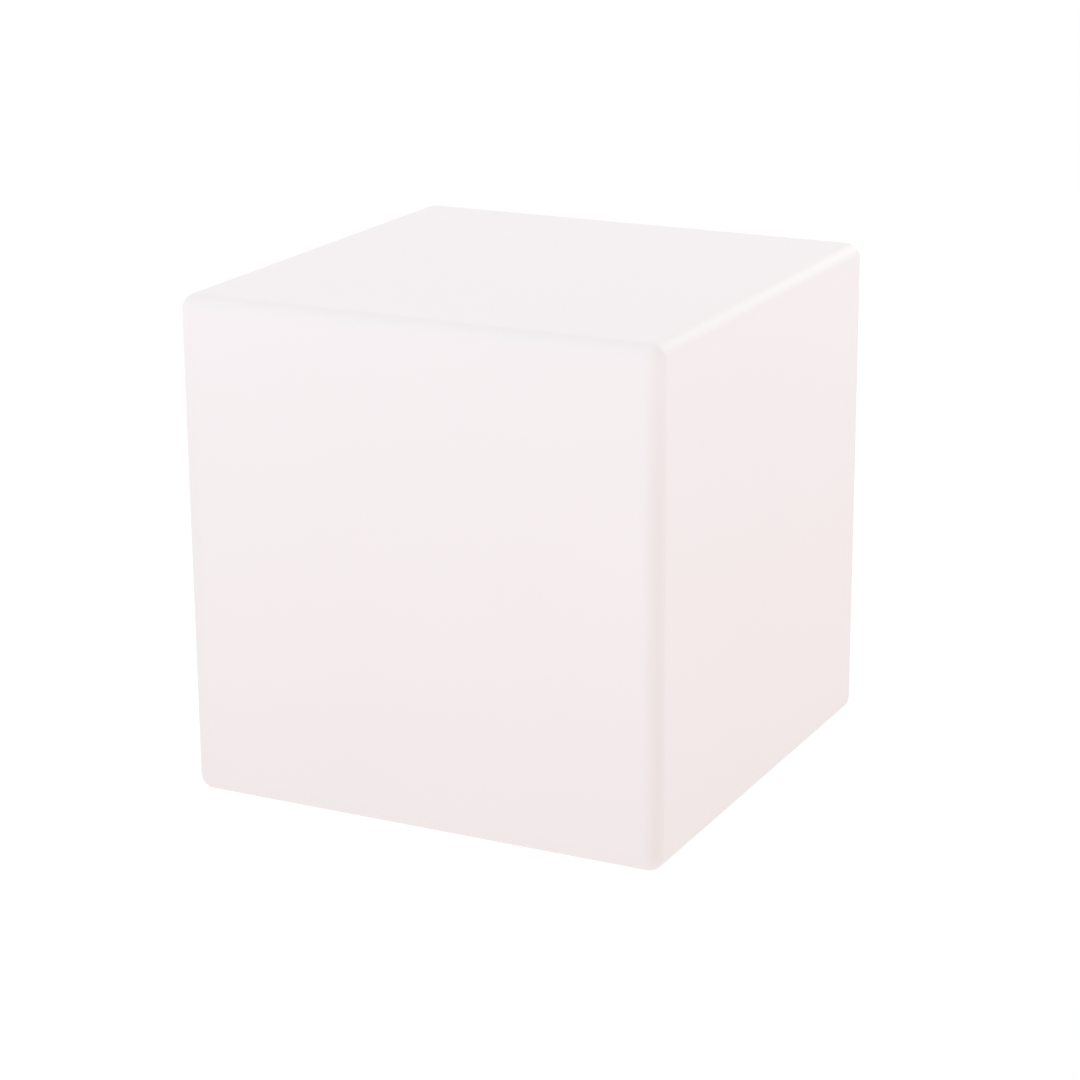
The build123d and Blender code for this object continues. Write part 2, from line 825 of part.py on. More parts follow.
def battery_tabs():
    """A nickel strip across the cells' ends, at the tips and at the flat ends."""
    height = cell_pitch + tab_width
    strips = []
    for low_x in (pack_x - cell_length / 2 - tab_thickness, guard_board_x - tab_thickness):
        strips.append(
            Pos(low_x, pack_y, cell_z) * Box(tab_thickness, height, tab_width, align=(Align.MIN, Align.CENTER, Align.CENTER))
        )
    return joined(strips)


def battery_guard_board():
    """The protection board, upright across the tips of the cells and as round as they are."""
    middle = guard_board_x + guard_board_thickness / 2
    return pack_outline(cell_radius - guard_board_margin, guard_board_thickness, middle)


def battery_sleeve():
    length = sleeve_right_x - sleeve_left_x
    middle = (sleeve_left_x + sleeve_right_x) / 2
    return pack_outline(sleeve_radius, length, middle) - pack_outline(sleeve_radius - sleeve_thickness, length, middle)


def battery_strap():
    """A band over the pack with a foot at each side."""
    gap = sleeve_radius + strap_clearance
    band = pack_outline(gap + strap_thickness, strap_width) - pack_outline(gap, strap_width)
    half_width = pack_half_width + strap_clearance
    band &= block(strap_width, 4 * half_width, cell_z, cell_z + 2 * gap + strap_thickness, 0, pack_y)
    front_y, back_y = strap_foot_places()
    for side, y in ((-1, front_y), (1, back_y)):
        leg_y = pack_y + side * (half_width + strap_thickness / 2)
        band += block(strap_width, strap_thickness, strap_foot_z, cell_z, 0, leg_y)
        foot_plate = block(strap_width, strap_foot_length, strap_foot_z, strap_foot_z + strap_thickness, 0, y)
        band += foot_plate - rod(
            board_screw_radius + screw_clearance, strap_foot_z, strap_foot_z + strap_thickness, 0, y
        )
    return band


def battery_strap_screws():
    length = strap_foot_z + strap_thickness - strap_pilot_z() - 0.3
    screw = pan_screw(board_screw_radius, length, board_screw_head_radius, board_screw_head_height)
    return joined([Pos(0, y, strap_foot_z + strap_thickness) * screw for y in strap_foot_places()])


def battery_lead(lane):
    """A lead from the protection board round the pack's corner to its socket.

    The lane is 1 for the outer lead and -1 for the inner one."""
    offset = lane * socket_wire_pitch / 2
    start_x = guard_board_x + guard_board_thickness
    start_y = pack_y - cell_pitch / 2 + offset
    end_y = battery_socket_y() - offset
    wire_z = control_board_top_z + socket_height / 2
    swing_x = start_x + battery_lead_swing + offset
    route = [
        (start_x, start_y, cell_z),
        (swing_x, start_y, cell_z),
        (swing_x, end_y + battery_lead_turn + 0.6 * offset, wire_z),
        (socket_face_x() + battery_lead_approach + 0.4 * offset, end_y, wire_z),
        (socket_face_x(), end_y, wire_z),
    ]
    return tube(route, power_wire_radius)


# ------------------------------------------------------------------ power button and switch
def power_mark():
    """The standard power mark, a broken ring with a bar, as a cutter."""
    half_gap = power_mark_gap / 2
    low = plate_face_z - button_proud
    high = low + power_mark_depth + button_dish_depth
    inner, outer = power_mark_radius - power_mark_width / 2, power_mark_radius + power_mark_width / 2
    mark = ring(inner, outer, low, high)
    reach = 2 * power_mark_radius
    half_width = reach * tan(radians(half_gap))
    wedge = Polygon((0, 0), (-half_width, reach), (half_width, reach), align=None)
    mark -= Pos(0, 0, low) * extrude(wedge, high - low)
    return mark + block(power_mark_width, power_mark_radius, low, high, 0, 0.75 * power_mark_radius)


def power_button():
    """The button, with a dished face, a groove for its seal, a stop flange and a socket for the plunger."""
    face_z = plate_face_z - button_proud
    flange_top_z = plate_inner_z + button_flange_thickness
    body = rod(button_radius, face_z, plate_inner_z)
    body = fillet(circles_at(body, button_radius, face_z), button_edge_round)
    dish_radius = button_radius - 2 * button_edge_round
    ball = (dish_radius**2 + button_dish_depth**2) / (2 * button_dish_depth)
    body -= Pos(0, 0, face_z + button_dish_depth - ball) * Sphere(ball)
    body -= power_mark()
    seal_low, seal_high = button_seal_span()
    body -= ring(button_radius - button_seal_depth, button_radius, seal_low, seal_high)
    body += rod(button_radius + button_flange_width, plate_inner_z, flange_top_z)
    socket_top_z = flange_top_z + plunger_socket_depth
    body += rod(plunger_radius + plunger_socket_wall, flange_top_z, socket_top_z)
    body -= rod(plunger_radius + thread_clearance, flange_top_z, socket_top_z)
    return Pos(button_x, button_y, 0) * body


def button_seal_span():
    """The heights of the seal's groove, in the middle of the plate."""
    middle = (plate_face_z + plate_inner_z) / 2
    return middle - button_seal_height / 2, middle + button_seal_height / 2


def button_seal():
    low, high = button_seal_span()
    inner = button_radius - button_seal_depth
    seal = ring(inner, button_radius + button_clearance / 2, low, high, button_x, button_y)
    return fillet(seal.edges().filter_by(GeomType.CIRCLE), 0.25 * button_seal_depth)


def switch_body():
    """The switch under the control board, bored for its plunger and the plunger's travel."""
    body = block(switch_side, switch_side, switch_bottom_z, control_board_z, button_x, button_y)
    return body - rod(
        plunger_radius + 2 * thread_clearance, switch_bottom_z, plunger_top_z() + button_travel + 0.3, button_x, button_y
    )


def plunger_top_z():
    return switch_bottom_z + 0.45 * switch_height


def switch_plunger():
    low = plate_inner_z + button_flange_thickness
    return rod(plunger_radius, low, plunger_top_z(), button_x, button_y)


def button_spring():
    """The return spring, between the button's flange and the switch."""
    low = plate_inner_z + button_flange_thickness + spring_wire_radius
    high = switch_bottom_z - spring_wire_radius
    path = Helix(pitch=(high - low) / spring_turns, height=high - low, radius=spring_radius)
    wire = sweep(Plane(path @ 0, z_dir=path % 0) * Circle(spring_wire_radius), path=path, is_frenet=True)
    return Pos(button_x, button_y, low) * wire


# ------------------------------------------------------------------ charging socket
def jack_face_z():
    return plate_face_z - jack_washer_thickness - jack_flange_thickness


def jack_barrel_top_z():
    return plate_face_z + jack_barrel_length


def polarity_mark():
    """The standard mark for a socket whose pin is positive, cut into the plate's face beside it.

    A ring with a bar is joined to a broken ring, and the dot inside that to a ring with a cross."""
    low, high = plate_face_z, plate_face_z + polarity_mark_depth
    radius, width, pitch = polarity_mark_radius, polarity_mark_width, polarity_mark_pitch

    def loop(x):
        return ring(radius - width / 2, radius + width / 2, low, high, x)

    mark = loop(0) - block(radius + width, 2 * width, low, high, (radius + width) / 2)
    mark += loop(-pitch) + loop(pitch) + rod(0.7 * width, low, high)
    mark += block(pitch - 2 * radius, width, low, high, -pitch / 2)
    mark += block(pitch - radius, width, low, high, (pitch - radius) / 2)
    for x in (-pitch, pitch):
        mark += block(radius, width, low, high, x)
    mark += block(width, radius, low, high, pitch)
    return Pos(jack_x, jack_y + polarity_mark_y, 0) * mark


def jack_barrel():
    flange = rod(jack_flange_radius, jack_face_z(), jack_face_z() + jack_flange_thickness)
    flange = fillet(circles_at(flange, jack_flange_radius, jack_face_z()), 0.4)
    barrel = flange + rod(jack_barrel_radius, jack_face_z() + jack_flange_thickness, jack_barrel_top_z())
    return Pos(jack_x, jack_y, 0) * (barrel - rod(jack_insulator_radius, jack_face_z(), jack_barrel_top_z()))


def jack_bore_end_z():
    return jack_face_z() + jack_bore_depth


def jack_insulator():
    top = jack_barrel_top_z() + jack_insulator_tail
    body = rod(jack_insulator_radius, jack_face_z(), top)
    body -= rod(jack_bore_radius, jack_face_z(), jack_bore_end_z())
    body -= rod(jack_pin_radius + jack_pin_root_width, jack_bore_end_z(), top)
    body -= jack_lug_tab(jack_bore_end_z() + jack_lug_grip, top)
    return Pos(jack_x, jack_y, 0) * body


def jack_lug_y():
    """Where the outer contact's lug stands, in front of the socket's axis."""
    return -0.55 * (jack_pin_radius + jack_insulator_radius)


def jack_lug_tab(low, high):
    return block(jack_lug_width, jack_lug_thickness, low, high, 0, jack_lug_y())


def jack_lug_top_z():
    return jack_barrel_top_z() + jack_insulator_tail + jack_lug_length


def jack_pin():
    """The centre contact, with a thicker root in the insulator and a flat solder lug at its back."""
    tip_z = jack_face_z() + jack_pin_recess
    back_z = jack_barrel_top_z() + jack_insulator_tail
    pin = rod(jack_pin_radius, tip_z, jack_bore_end_z())
    pin = fillet(circles_at(pin, jack_pin_radius, tip_z), jack_pin_tip_round)
    pin += rod(jack_pin_radius + jack_pin_root_width, jack_bore_end_z(), back_z)
    pin += block(2 * jack_pin_radius, jack_lug_thickness, back_z, jack_lug_top_z())
    return Pos(jack_x, jack_y, 0) * pin


def jack_lug():
    """The outer contact's lug."""
    return Pos(jack_x, jack_y, 0) * jack_lug_tab(jack_bore_end_z() + jack_lug_grip, jack_lug_top_z())


def jack_nut():
    nut = extrude(RegularPolygon(jack_nut_flats / 2, 6, major_radius=False), jack_nut_thickness)
    nut = Pos(jack_x, jack_y, plate_inner_z) * nut
    return nut - rod(
        jack_barrel_radius + thread_clearance, plate_inner_z, plate_inner_z + jack_nut_thickness, jack_x, jack_y
    )


def jack_washer():
    low = plate_face_z - jack_washer_thickness
    return ring(jack_barrel_radius + thread_clearance, jack_flange_radius, low, plate_face_z, jack_x, jack_y)


def jack_lead(side):
    """A lead from a lug up and over into the socket's top.  The side is 1 for the pin, -1 for the lug."""
    start_y = jack_y if side > 0 else jack_y + jack_lug_y()
    end_x, socket_y = jack_socket_place()
    end_y = socket_y + side * socket_wire_pitch / 2
    over_z = jack_lug_top_z() + jack_lead_rise
    route = [
        (jack_x, start_y, jack_lug_top_z()),
        (jack_x, start_y, over_z),
        (end_x, end_y, over_z),
        (end_x, end_y, control_board_top_z + socket_height),
    ]
    return tube(route, power_wire_radius)


# ------------------------------------------------------------------ dust cap
def cap_lip_z():
    """The open edge of the cap, just clear of the plate.  The hinge line lies at this height."""
    return plate_face_z - cap_clearance


def cap_ceiling_z():
    return jack_face_z() - cap_clearance / 3


def hinge_y():
    return jack_y - cap_hinge_offset


def strap_piece(length, side):
    """One side of the thin strap, from the hinge line.  Its end slopes, so that the fold has room to close.

    The side is 1 towards the cap and -1 towards the anchor."""
    lean = cap_strap_thickness * tan(radians((cap_hinge_open_angle + 5) / 2))
    high = cap_lip_z()
    low = high - cap_strap_thickness
    outline = Polygon(
        (side * cap_hinge_gap, high),
        (side * length, high),
        (side * length, low),
        (side * (cap_hinge_gap + lean), low),
        align=None,
    )
    return Pos(jack_x - cap_strap_width / 2, hinge_y(), 0) * extrude(Plane.YZ * outline, cap_strap_width)


def port_cap():
    """A soft cup over the socket's flange, with a short plug, a finger tab and its half of the strap."""
    inner = jack_flange_radius + cap_clearance
    outer = inner + cap_wall
    face_z = cap_ceiling_z() - cap_top
    cup = rod(outer, face_z, cap_lip_z(), jack_x, jack_y)
    cup = fillet(circles_at(cup, outer, face_z), 0.6 * cap_top)
    tab_y = jack_y + outer + cap_tab_length / 2 - 0.6
    tab = block(cap_tab_width, cap_tab_length + 1.2, face_z + 0.3, face_z + 0.3 + cap_strap_thickness, jack_x, tab_y)
    tab = fillet(tab.edges().filter_by(Axis.Z).group_by(Axis.Y)[-1], 0.3 * cap_tab_width)
    cap = cup + tab + strap_piece(cap_hinge_offset - 0.8 * inner, 1)
    cap -= rod(inner, cap_ceiling_z(), cap_lip_z(), jack_x, jack_y)
    stem_radius = jack_bore_radius - cap_stem_clearance
    stem_top_z = cap_ceiling_z() + cap_stem_depth
    stem = rod(stem_radius, cap_ceiling_z(), stem_top_z, jack_x, jack_y)
    return cap + fillet(circles_at(stem, stem_radius, stem_top_z), 0.3 * cap_stem_depth)


def port_cap_anchor():
    """The strap's fixed end, held by a soft rivet through the plate."""
    low = cap_lip_z() - cap_strap_thickness
    rivet_y = anchor_rivet_y()
    pad = strap_piece(anchor_length, -1)
    pad += rod(anchor_rivet_radius, low, plate_inner_z, jack_x, rivet_y)
    pad += rod(anchor_rivet_radius + 0.8, cap_lip_z(), plate_face_z, jack_x, rivet_y)
    head = rod(anchor_head_radius, plate_inner_z, plate_inner_z + anchor_head_thickness, jack_x, rivet_y)
    return pad + fillet(circles_at(head, anchor_head_radius, plate_inner_z + anchor_head_thickness), 0.4)


# ------------------------------------------------------------------ all the pieces, one node each
def pieces():
    made = {"cube_shell": cube_shell()}
    for place, (x, y) in foot_places().items():
        made["foot_" + place] = foot(x, y)
    made["flange_inserts"] = flange_inserts()
    made["flange_screws"] = flange_screws()
    made["unit_gasket"] = unit_gasket()
    made["unit_base"] = unit_base()
    made["diffuser_cover"] = diffuser_cover()
    made["cover_seal"] = cover_seal()
    made["cover_screws"] = cover_screws()
    made["led_board"] = led_board()
    made["led_board_standoffs"] = led_board_standoffs()
    made["led_board_screws"] = led_board_screws()
    made["leds"] = leds()
    made["remote_receiver"] = remote_receiver()
    made["led_board_socket"] = led_board_socket()
    made["led_lead"] = led_lead()
    made["control_board"] = control_board()
    made["control_board_screws"] = control_board_screws()
    made["control_chip"] = control_chip()
    made["charge_chip"] = charge_chip()
    made["led_drivers"] = led_drivers()
    made["power_coil"] = power_coil()
    made["storage_capacitor"] = storage_capacitor()
    made["led_socket"] = led_socket_block(control_board_top_z, led_lead_x, led_lead_y)
    made["battery_socket"] = battery_socket()
    made["jack_socket"] = jack_socket()
    made["charge_lamp"] = charge_lamp()
    made["indicator_light_pipe"] = indicator_light_pipe()
    made["battery_cell_1"] = battery_cell(-1)
    made["battery_cell_2"] = battery_cell(1)
    made["battery_tabs"] = battery_tabs()
    made["battery_guard_board"] = battery_guard_board()
    made["battery_sleeve"] = battery_sleeve()
    made["battery_strap"] = battery_strap()
    made["battery_strap_screws"] = battery_strap_screws()
    made["battery_lead_red"] = battery_lead(1)
    made["battery_lead_black"] = battery_lead(-1)
    made["power_button"] = power_button()
    made["button_seal"] = button_seal()
    made["switch_body"] = switch_body()
    made["switch_plunger"] = switch_plunger()
    made["button_spring"] = button_spring()
    made["jack_barrel"] = jack_barrel()
    made["jack_insulator"] = jack_insulator()
    made["jack_pin"] = jack_pin()
    made["jack_lug"] = jack_lug()
    made["jack_nut"] = jack_nut()
    made["jack_washer"] = jack_washer()
    made["jack_lead_red"] = jack_lead(1)
    made["jack_lead_black"] = jack_lead(-1)
    made["port_cap"] = port_cap()
    made["port_cap_anchor"] = port_cap_anchor()
    return made


os.makedirs("parts", exist_ok=True)
for name, shape in pieces().items():
    export_step(shape, f"parts/{name}.step")
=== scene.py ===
"""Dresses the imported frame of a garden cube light: new meshes, materials, floor, lamps and camera.

Everything is in metres.  +Z is up, z = 0 is the surface that the feet stand on, the origin is under
the middle of the cube, and the front face looks along -Y."""

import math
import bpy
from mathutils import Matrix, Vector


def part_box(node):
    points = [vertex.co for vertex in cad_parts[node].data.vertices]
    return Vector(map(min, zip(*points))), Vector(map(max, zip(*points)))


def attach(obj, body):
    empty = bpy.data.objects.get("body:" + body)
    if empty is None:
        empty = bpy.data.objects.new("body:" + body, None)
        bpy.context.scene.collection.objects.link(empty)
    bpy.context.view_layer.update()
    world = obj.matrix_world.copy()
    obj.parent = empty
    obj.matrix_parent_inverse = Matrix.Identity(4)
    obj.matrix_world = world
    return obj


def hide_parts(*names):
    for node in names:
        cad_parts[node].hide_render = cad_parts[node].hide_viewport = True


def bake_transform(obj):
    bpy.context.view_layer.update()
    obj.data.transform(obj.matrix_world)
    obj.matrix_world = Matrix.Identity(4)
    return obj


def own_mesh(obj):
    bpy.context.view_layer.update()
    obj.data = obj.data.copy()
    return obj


bl_info = {
    "name": "Cube Light",
    "version": (1, 0, 0),
    "blender": (4, 5, 0),
    "location": "View3D > Sidebar > Cube Light",
    "description": "Models and finishes the pieces of a garden cube light round its packed frame",
    "category": "Add Mesh",
}

import bmesh
import bpy
from bpy.props import FloatProperty, FloatVectorProperty, IntProperty, PointerProperty
from mathutils import Matrix, Vector

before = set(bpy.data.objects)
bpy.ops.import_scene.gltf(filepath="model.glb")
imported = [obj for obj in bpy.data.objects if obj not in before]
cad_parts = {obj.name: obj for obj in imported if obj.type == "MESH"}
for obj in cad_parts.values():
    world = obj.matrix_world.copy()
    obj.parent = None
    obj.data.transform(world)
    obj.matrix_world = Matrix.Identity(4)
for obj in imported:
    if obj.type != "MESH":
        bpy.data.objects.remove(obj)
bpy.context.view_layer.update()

MM = 0.001
BLACK = (0.0, 0.0, 0.0)
PHOTO_SIZE = 1080  # pixels along each side of the photographed frame
CUBE_SEEN_AT = (534.2, 512.6)  # the cube's middle in that frame, in pixels from its upper left corner
SENSOR_WIDTH = 36.0  # millimetres
SHELL_LOW, SHELL_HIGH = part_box("cube_shell")
GASKET_LOW, GASKET_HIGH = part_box("unit_gasket")
CAP_LOW, CAP_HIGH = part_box("port_cap")
SPRING_LOW, SPRING_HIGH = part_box("button_spring")
BASE_PLATE_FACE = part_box("flange_screws")[0].z
CUBE_MIDDLE = (SHELL_LOW + SHELL_HIGH) / 2


# ------------------------------------------------------------------ sizes and colours
def size(name, value, about):
    """A length that a user can change, written here in millimetres."""
    return FloatProperty(
        name=name, description=about, default=value * MM, min=0.0, precision=5, unit="LENGTH"
    )


def colour(name, value, about):
    return FloatVectorProperty(
        name=name, description=about, default=value, min=0.0, max=1.0, size=3, subtype="COLOR"
    )


class CubeLightShellSizes(bpy.types.PropertyGroup):
    side: size("Side", (SHELL_HIGH.x - SHELL_LOW.x) / MM, "Outside length of each edge of the cube")
    underside: size("Underside height", SHELL_LOW.z / MM, "Height of the cube's underside over the floor")
    edge_round: size("Edge round", 12.0, "Radius of the cube's edges and corners")
    wall: size("Wall", 3.5, "Thickness of the moulded wall")
    face_sink: size("Face sink", 0.3, "How far the middle of each face has drawn in as the plastic cooled")
    recess_radius: size("Recess radius", 80.025, "Radius of the round recess in the underside")
    recess_ceiling: size("Recess ceiling", GASKET_HIGH.z / MM, "Height of the recess's ceiling over floor")
    recess_mouth: size("Recess mouth round", 4.0, "Radius where the underside turns into the recess")
    recess_corner: size("Recess corner round", 2.0, "Radius between the recess's wall and its ceiling")
    opening_radius: size("Opening radius", 63.025, "Radius of the hole that the light unit goes through")
    opening_round: size("Opening edge round", 0.8, "Radius of the hole's lower edge")
    foot_offset: size("Foot offset", 162.0, "Distance of each foot from the middle, along X and along Y")
    foot_radius: size("Foot radius", 14.0, "Radius of the rubber feet")
    foot_height: size("Foot thickness", 3.0, "Thickness of the rubber feet")
    pocket_gap: size("Foot pocket gap", 0.2, "Room round a foot in its pocket")


class CubeLightFixingSizes(bpy.types.PropertyGroup):
    flange_circle: size("Flange screw circle", 69.025, "Radius of the circle that the flange screws stand on")
    cover_circle: size("Cover screw circle", 58.425, "Radius of the circle that the cover screws stand on")
    insert_radius: size("Insert radius", 3.2, "Outside radius of the brass inserts")
    insert_length: size("Insert length", 10.0, "Length of the brass inserts")
    boss_wall: size("Boss wall", 3.8, "Plastic round each insert")
    boss_end: size("Boss end", 4.0, "Plastic over each insert's hole")
    screw_room: size("Screw room", 1.5, "Room past the end of each screw")
    count: IntProperty(name="Screw count", description="Screws in each ring", default=6, min=3, max=12)


class CubeLightCapSizes(bpy.types.PropertyGroup):
    x: size("Socket X", 24.0, "Place of the charging socket's axis")
    y: FloatProperty(
        name="Socket Y", description="Place of the charging socket's axis", default=-20 * MM, unit="LENGTH"
    )
    strap_width: size("Strap width", 6.0, "Width of the strap that holds the cap")
    strap: size("Strap thickness", 1.2, "Thickness of the strap")
    hinge: size("Hinge offset", 12.0, "Distance from the socket's axis to the line that the strap bends on")
    anchor: size("Anchor length", 9.0, "Length of the fixed end of the strap")
    wall: size("Cap wall", 1.6, "Thickness of the cap's wall")
    rivet: size("Rivet radius", 2.0, "Radius of the soft rivet that goes through the base plate")
    rivet_head: size("Rivet head radius", 3.2, "Radius of the rivet's head inside the light unit")


class CubeLightColours(bpy.types.PropertyGroup):
    shell: colour("Shell", (0.88, 0.84, 0.83), "Moulded polyethylene of the cube")
    # Painted shade and painted light: the glow near the floor is darker and the glow near the top lighter,
    # standing in for how the light falls on the cube.
    low_glow_painted_shade: colour(
        "Lower glow", (0.078, 0.050, 0.069), "Light that comes through the wall near the floor"
    )
    high_glow_painted_light: colour(
        "Upper glow", (0.122, 0.105, 0.137), "Light that comes through the wall near the top"
    )
    feet: colour("Feet", (0.42, 0.42, 0.43), "Rubber of the feet")
    base: colour("Base", (0.80, 0.80, 0.79), "Moulded plastic of the light unit")
    cap: colour("Dust cap", (0.20, 0.20, 0.215), "Soft rubber of the charging socket's cap")
    button: colour("Button", (0.24, 0.25, 0.27), "Moulded plastic of the power button")


class CubeLightStudio(bpy.types.PropertyGroup):
    lens: FloatProperty(
        name="Lens", description="Focal length on a 36 mm sensor", default=101.4, min=10, max=300,
        unit="CAMERA"
    )
    azimuth: FloatProperty(
        name="Azimuth", description="Turn of the camera round the cube, from the front towards the right",
        default=math.radians(26.59), subtype="ANGLE"
    )
    elevation: FloatProperty(
        name="Elevation", description="How far the camera looks down", default=math.radians(17.28),
        subtype="ANGLE"
    )
    roll: FloatProperty(
        name="Roll", description="Tilt of the camera round its own axis", default=math.radians(-0.37),
        subtype="ANGLE"
    )
    distance: FloatProperty(
        name="Distance", description="From the camera to the middle of the cube, along the view",
        default=2.431, min=0.5, unit="LENGTH"
    )
    upper_light: colour("Upper light", (0.726, 0.705, 0.646), "Soft light from straight above")
    lower_light: colour("Lower light", (0.934, 0.899, 0.886), "Soft light from straight below")
    left_light: colour("Left light", (0.0, 0.004, 0.040), "What the soft light has more of from the left")
    front_light: colour("Front light", (0.08, 0.08, 0.08), "What the soft light has more of from the front")
    front_lamp: colour("Front lamp", (0.45, 0.83, 1.0), "Broad lamp high on the left, in front")
    back_lamp: colour("Back lamp", (0.77, 0.97, 1.0), "Broad lamp behind the right edge")


# ------------------------------------------------------------------ modelling
def start(kind, name, **settings):
    """Adds a primitive with nothing else selected."""
    if bpy.context.object and bpy.context.object.mode != "OBJECT":
        bpy.ops.object.mode_set(mode="OBJECT")
    bpy.ops.object.select_all(action="DESELECT")
    getattr(bpy.ops.mesh, "primitive_" + kind + "_add")(**settings)
    bpy.ops.object.transform_apply(location=True, rotation=True, scale=True)
    piece = bpy.context.active_object
    piece.name = name
    piece.data.name = name
    return piece


def only(piece):
    """Makes this the one selected object."""
    bpy.ops.object.select_all(action="DESELECT")
    piece.select_set(True)
    bpy.context.view_layer.objects.active = piece


def edit(piece, mode="VERT"):
    only(piece)
    bpy.ops.object.mode_set(mode="EDIT")
    bpy.ops.mesh.select_mode(type=mode)
    bpy.ops.mesh.select_all(action="SELECT")


def done():
    bpy.ops.object.mode_set(mode="OBJECT")


def pick(piece, what, test):
    """Selects the vertices, edges or faces of the piece in edit mode that pass a test."""
    bpy.ops.mesh.select_all(action="DESELECT")
    cells = bmesh.from_edit_mesh(piece.data)
    found = 0
    for cell in getattr(cells, what):
        if test(cell):
            cell.select_set(True)
            found += 1
    cells.select_flush_mode()
    bmesh.update_edit_mesh(piece.data)
    if not found:
        raise RuntimeError(f"{piece.name}: none of its {what} are where they should be")


def tidy(piece):
    """Closes the seams and turns the faces outwards."""
    edit(piece)
    bpy.ops.mesh.remove_doubles(threshold=1e-6)
    bpy.ops.mesh.normals_make_consistent(inside=False)
    done()


def arc(middle, radius, first, last, steps=6):
    """Points of an outline on an arc, its angles in degrees from +X towards +Z."""
    points = []
    for i in range(steps + 1):
        angle = math.radians(first + (last - first) * i / steps)
        points.append((middle[0] + radius * math.cos(angle), middle[1] + radius * math.sin(angle)))
    return points


def turned(name, outline, steps=64, x=0.0, y=0.0):
    """A turned form.  Its outline of (radius, height) is drawn from one point by extruding, then spun."""
    piece = start("plane", name, size=0.001)
    edit(piece)
    bpy.ops.mesh.merge(type="CENTER")
    bpy.ops.transform.translate(value=(outline[0][0], 0, outline[0][1]))
    for before, after in zip(outline, outline[1:]):
        step = (after[0] - before[0], 0, after[1] - before[1])
        bpy.ops.mesh.extrude_region_move(TRANSFORM_OT_translate={"value": step})
    bpy.ops.mesh.select_all(action="SELECT")
    bpy.ops.mesh.spin(steps=steps, angle=2 * math.pi, center=(0, 0, 0), axis=(0, 0, 1))
    done()
    tidy(piece)
    if x or y:
        shift(piece, (x, y, 0))
    return piece


def shift(piece, step):
    edit(piece)
    bpy.ops.transform.translate(value=step)
    done()


def round_upright(piece, radius, test):
    """Rounds the upright edges of a block whose first end passes a test on its Y."""
    edit(piece, "EDGE")
    pick(piece, "edges", lambda e: upright(e) and test(e.verts[0].co.y))
    bpy.ops.mesh.bevel(offset=radius, segments=8, profile=0.5, affect="EDGES")
    done()


def upright(edge):
    first, second = edge.verts
    return abs(first.co.z - second.co.z) > 0.9 * edge.calc_length()


def copies(piece, places):
    """The piece, modelled at the origin, once at each place as one object."""
    only(piece)
    made = [piece]
    for _ in places[1:]:
        only(piece)
        bpy.ops.object.duplicate(linked=False)
        made.append(bpy.context.active_object)
    for one, place in zip(made, places):
        one.location = place
    bpy.ops.object.select_all(action="DESELECT")
    for one in made:
        one.select_set(True)
    bpy.context.view_layer.objects.active = piece
    bpy.ops.object.join()
    bpy.ops.object.transform_apply(location=True, rotation=True, scale=True)
    return piece


def on_circle(radius, count, height):
    turn = 2 * math.pi / count
    return [(radius * math.cos(i * turn), radius * math.sin(i * turn), height) for i in range(count)]


def apply(piece, kind, **settings):
    """Adds a modifier with these settings and applies it."""
    modifier = piece.modifiers.new(kind.lower(), kind)
    for name, value in settings.items():
        setattr(modifier, name, value)
    only(piece)
    bpy.ops.object.modifier_apply(modifier=modifier.name)


def combine(piece, tool, operation):
    apply(piece, "BOOLEAN", object=tool, operation=operation, solver="EXACT")
    bpy.data.objects.remove(tool)


def smooth(piece, angle=35.0):
    """Smooth shading up to an angle, with the large flat faces kept flat."""
    only(piece)
    bpy.ops.object.shade_smooth_by_angle(angle=math.radians(angle))
    apply(piece, "WEIGHTED_NORMAL", keep_sharp=True, weight=80)


def fit(piece, body, slot, paint, *nodes):
    """Gives a piece its material, the nodes that it stands for and, unless it is blended, its body."""
    piece.data.materials.clear()
    piece.data.materials.append(paint)
    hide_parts(*nodes)
    if body:
        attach(piece, body)


# ------------------------------------------------------------------ shader maths
class Signal:
    """A number that varies over a surface.  Arithmetic on it adds Math nodes to its material."""

    def __init__(self, paint, socket):
        self.paint = paint
        self.socket = socket

    def math(self, operation, *values):
        """A Math node on these values, or on this number alone."""
        sockets = dict(enumerate(values or (self,)))
        return self.paint.node("ShaderNodeMath", {"operation": operation}, sockets)

    def __abs__(self):
        return self.math("ABSOLUTE")

    def least(self, other):
        return self.math("MINIMUM", self, other)

    def most(self, other):
        return self.math("MAXIMUM", self, other)

    def below(self, edge, blur):
        """1 where the number is under an edge and 0 over it, with a soft step."""
        return self.paint.node(
            "ShaderNodeMapRange",
            {"interpolation_type": "SMOOTHSTEP"},
            {
                "Value": self, "From Min": edge - blur / 2, "From Max": edge + blur / 2,
                "To Min": 1.0, "To Max": 0.0,
            },
        )

    def above(self, edge, blur):
        return 1 - self.below(edge, blur)


def overload(name, operation):
    """Gives Signal an operator and its reflected form, so that 1 - mask works as well as mask - 1."""
    setattr(Signal, f"__{name}__", lambda self, other: self.math(operation, self, other))
    setattr(Signal, f"__r{name}__", lambda self, other: self.math(operation, other, self))


overload("add", "ADD")
overload("sub", "SUBTRACT")
overload("mul", "MULTIPLY")
overload("truediv", "DIVIDE")
overload("pow", "POWER")


def span(first, second):
    """How far a point lies from the origin of two offsets."""
    return (first * first + second * second) ** 0.5


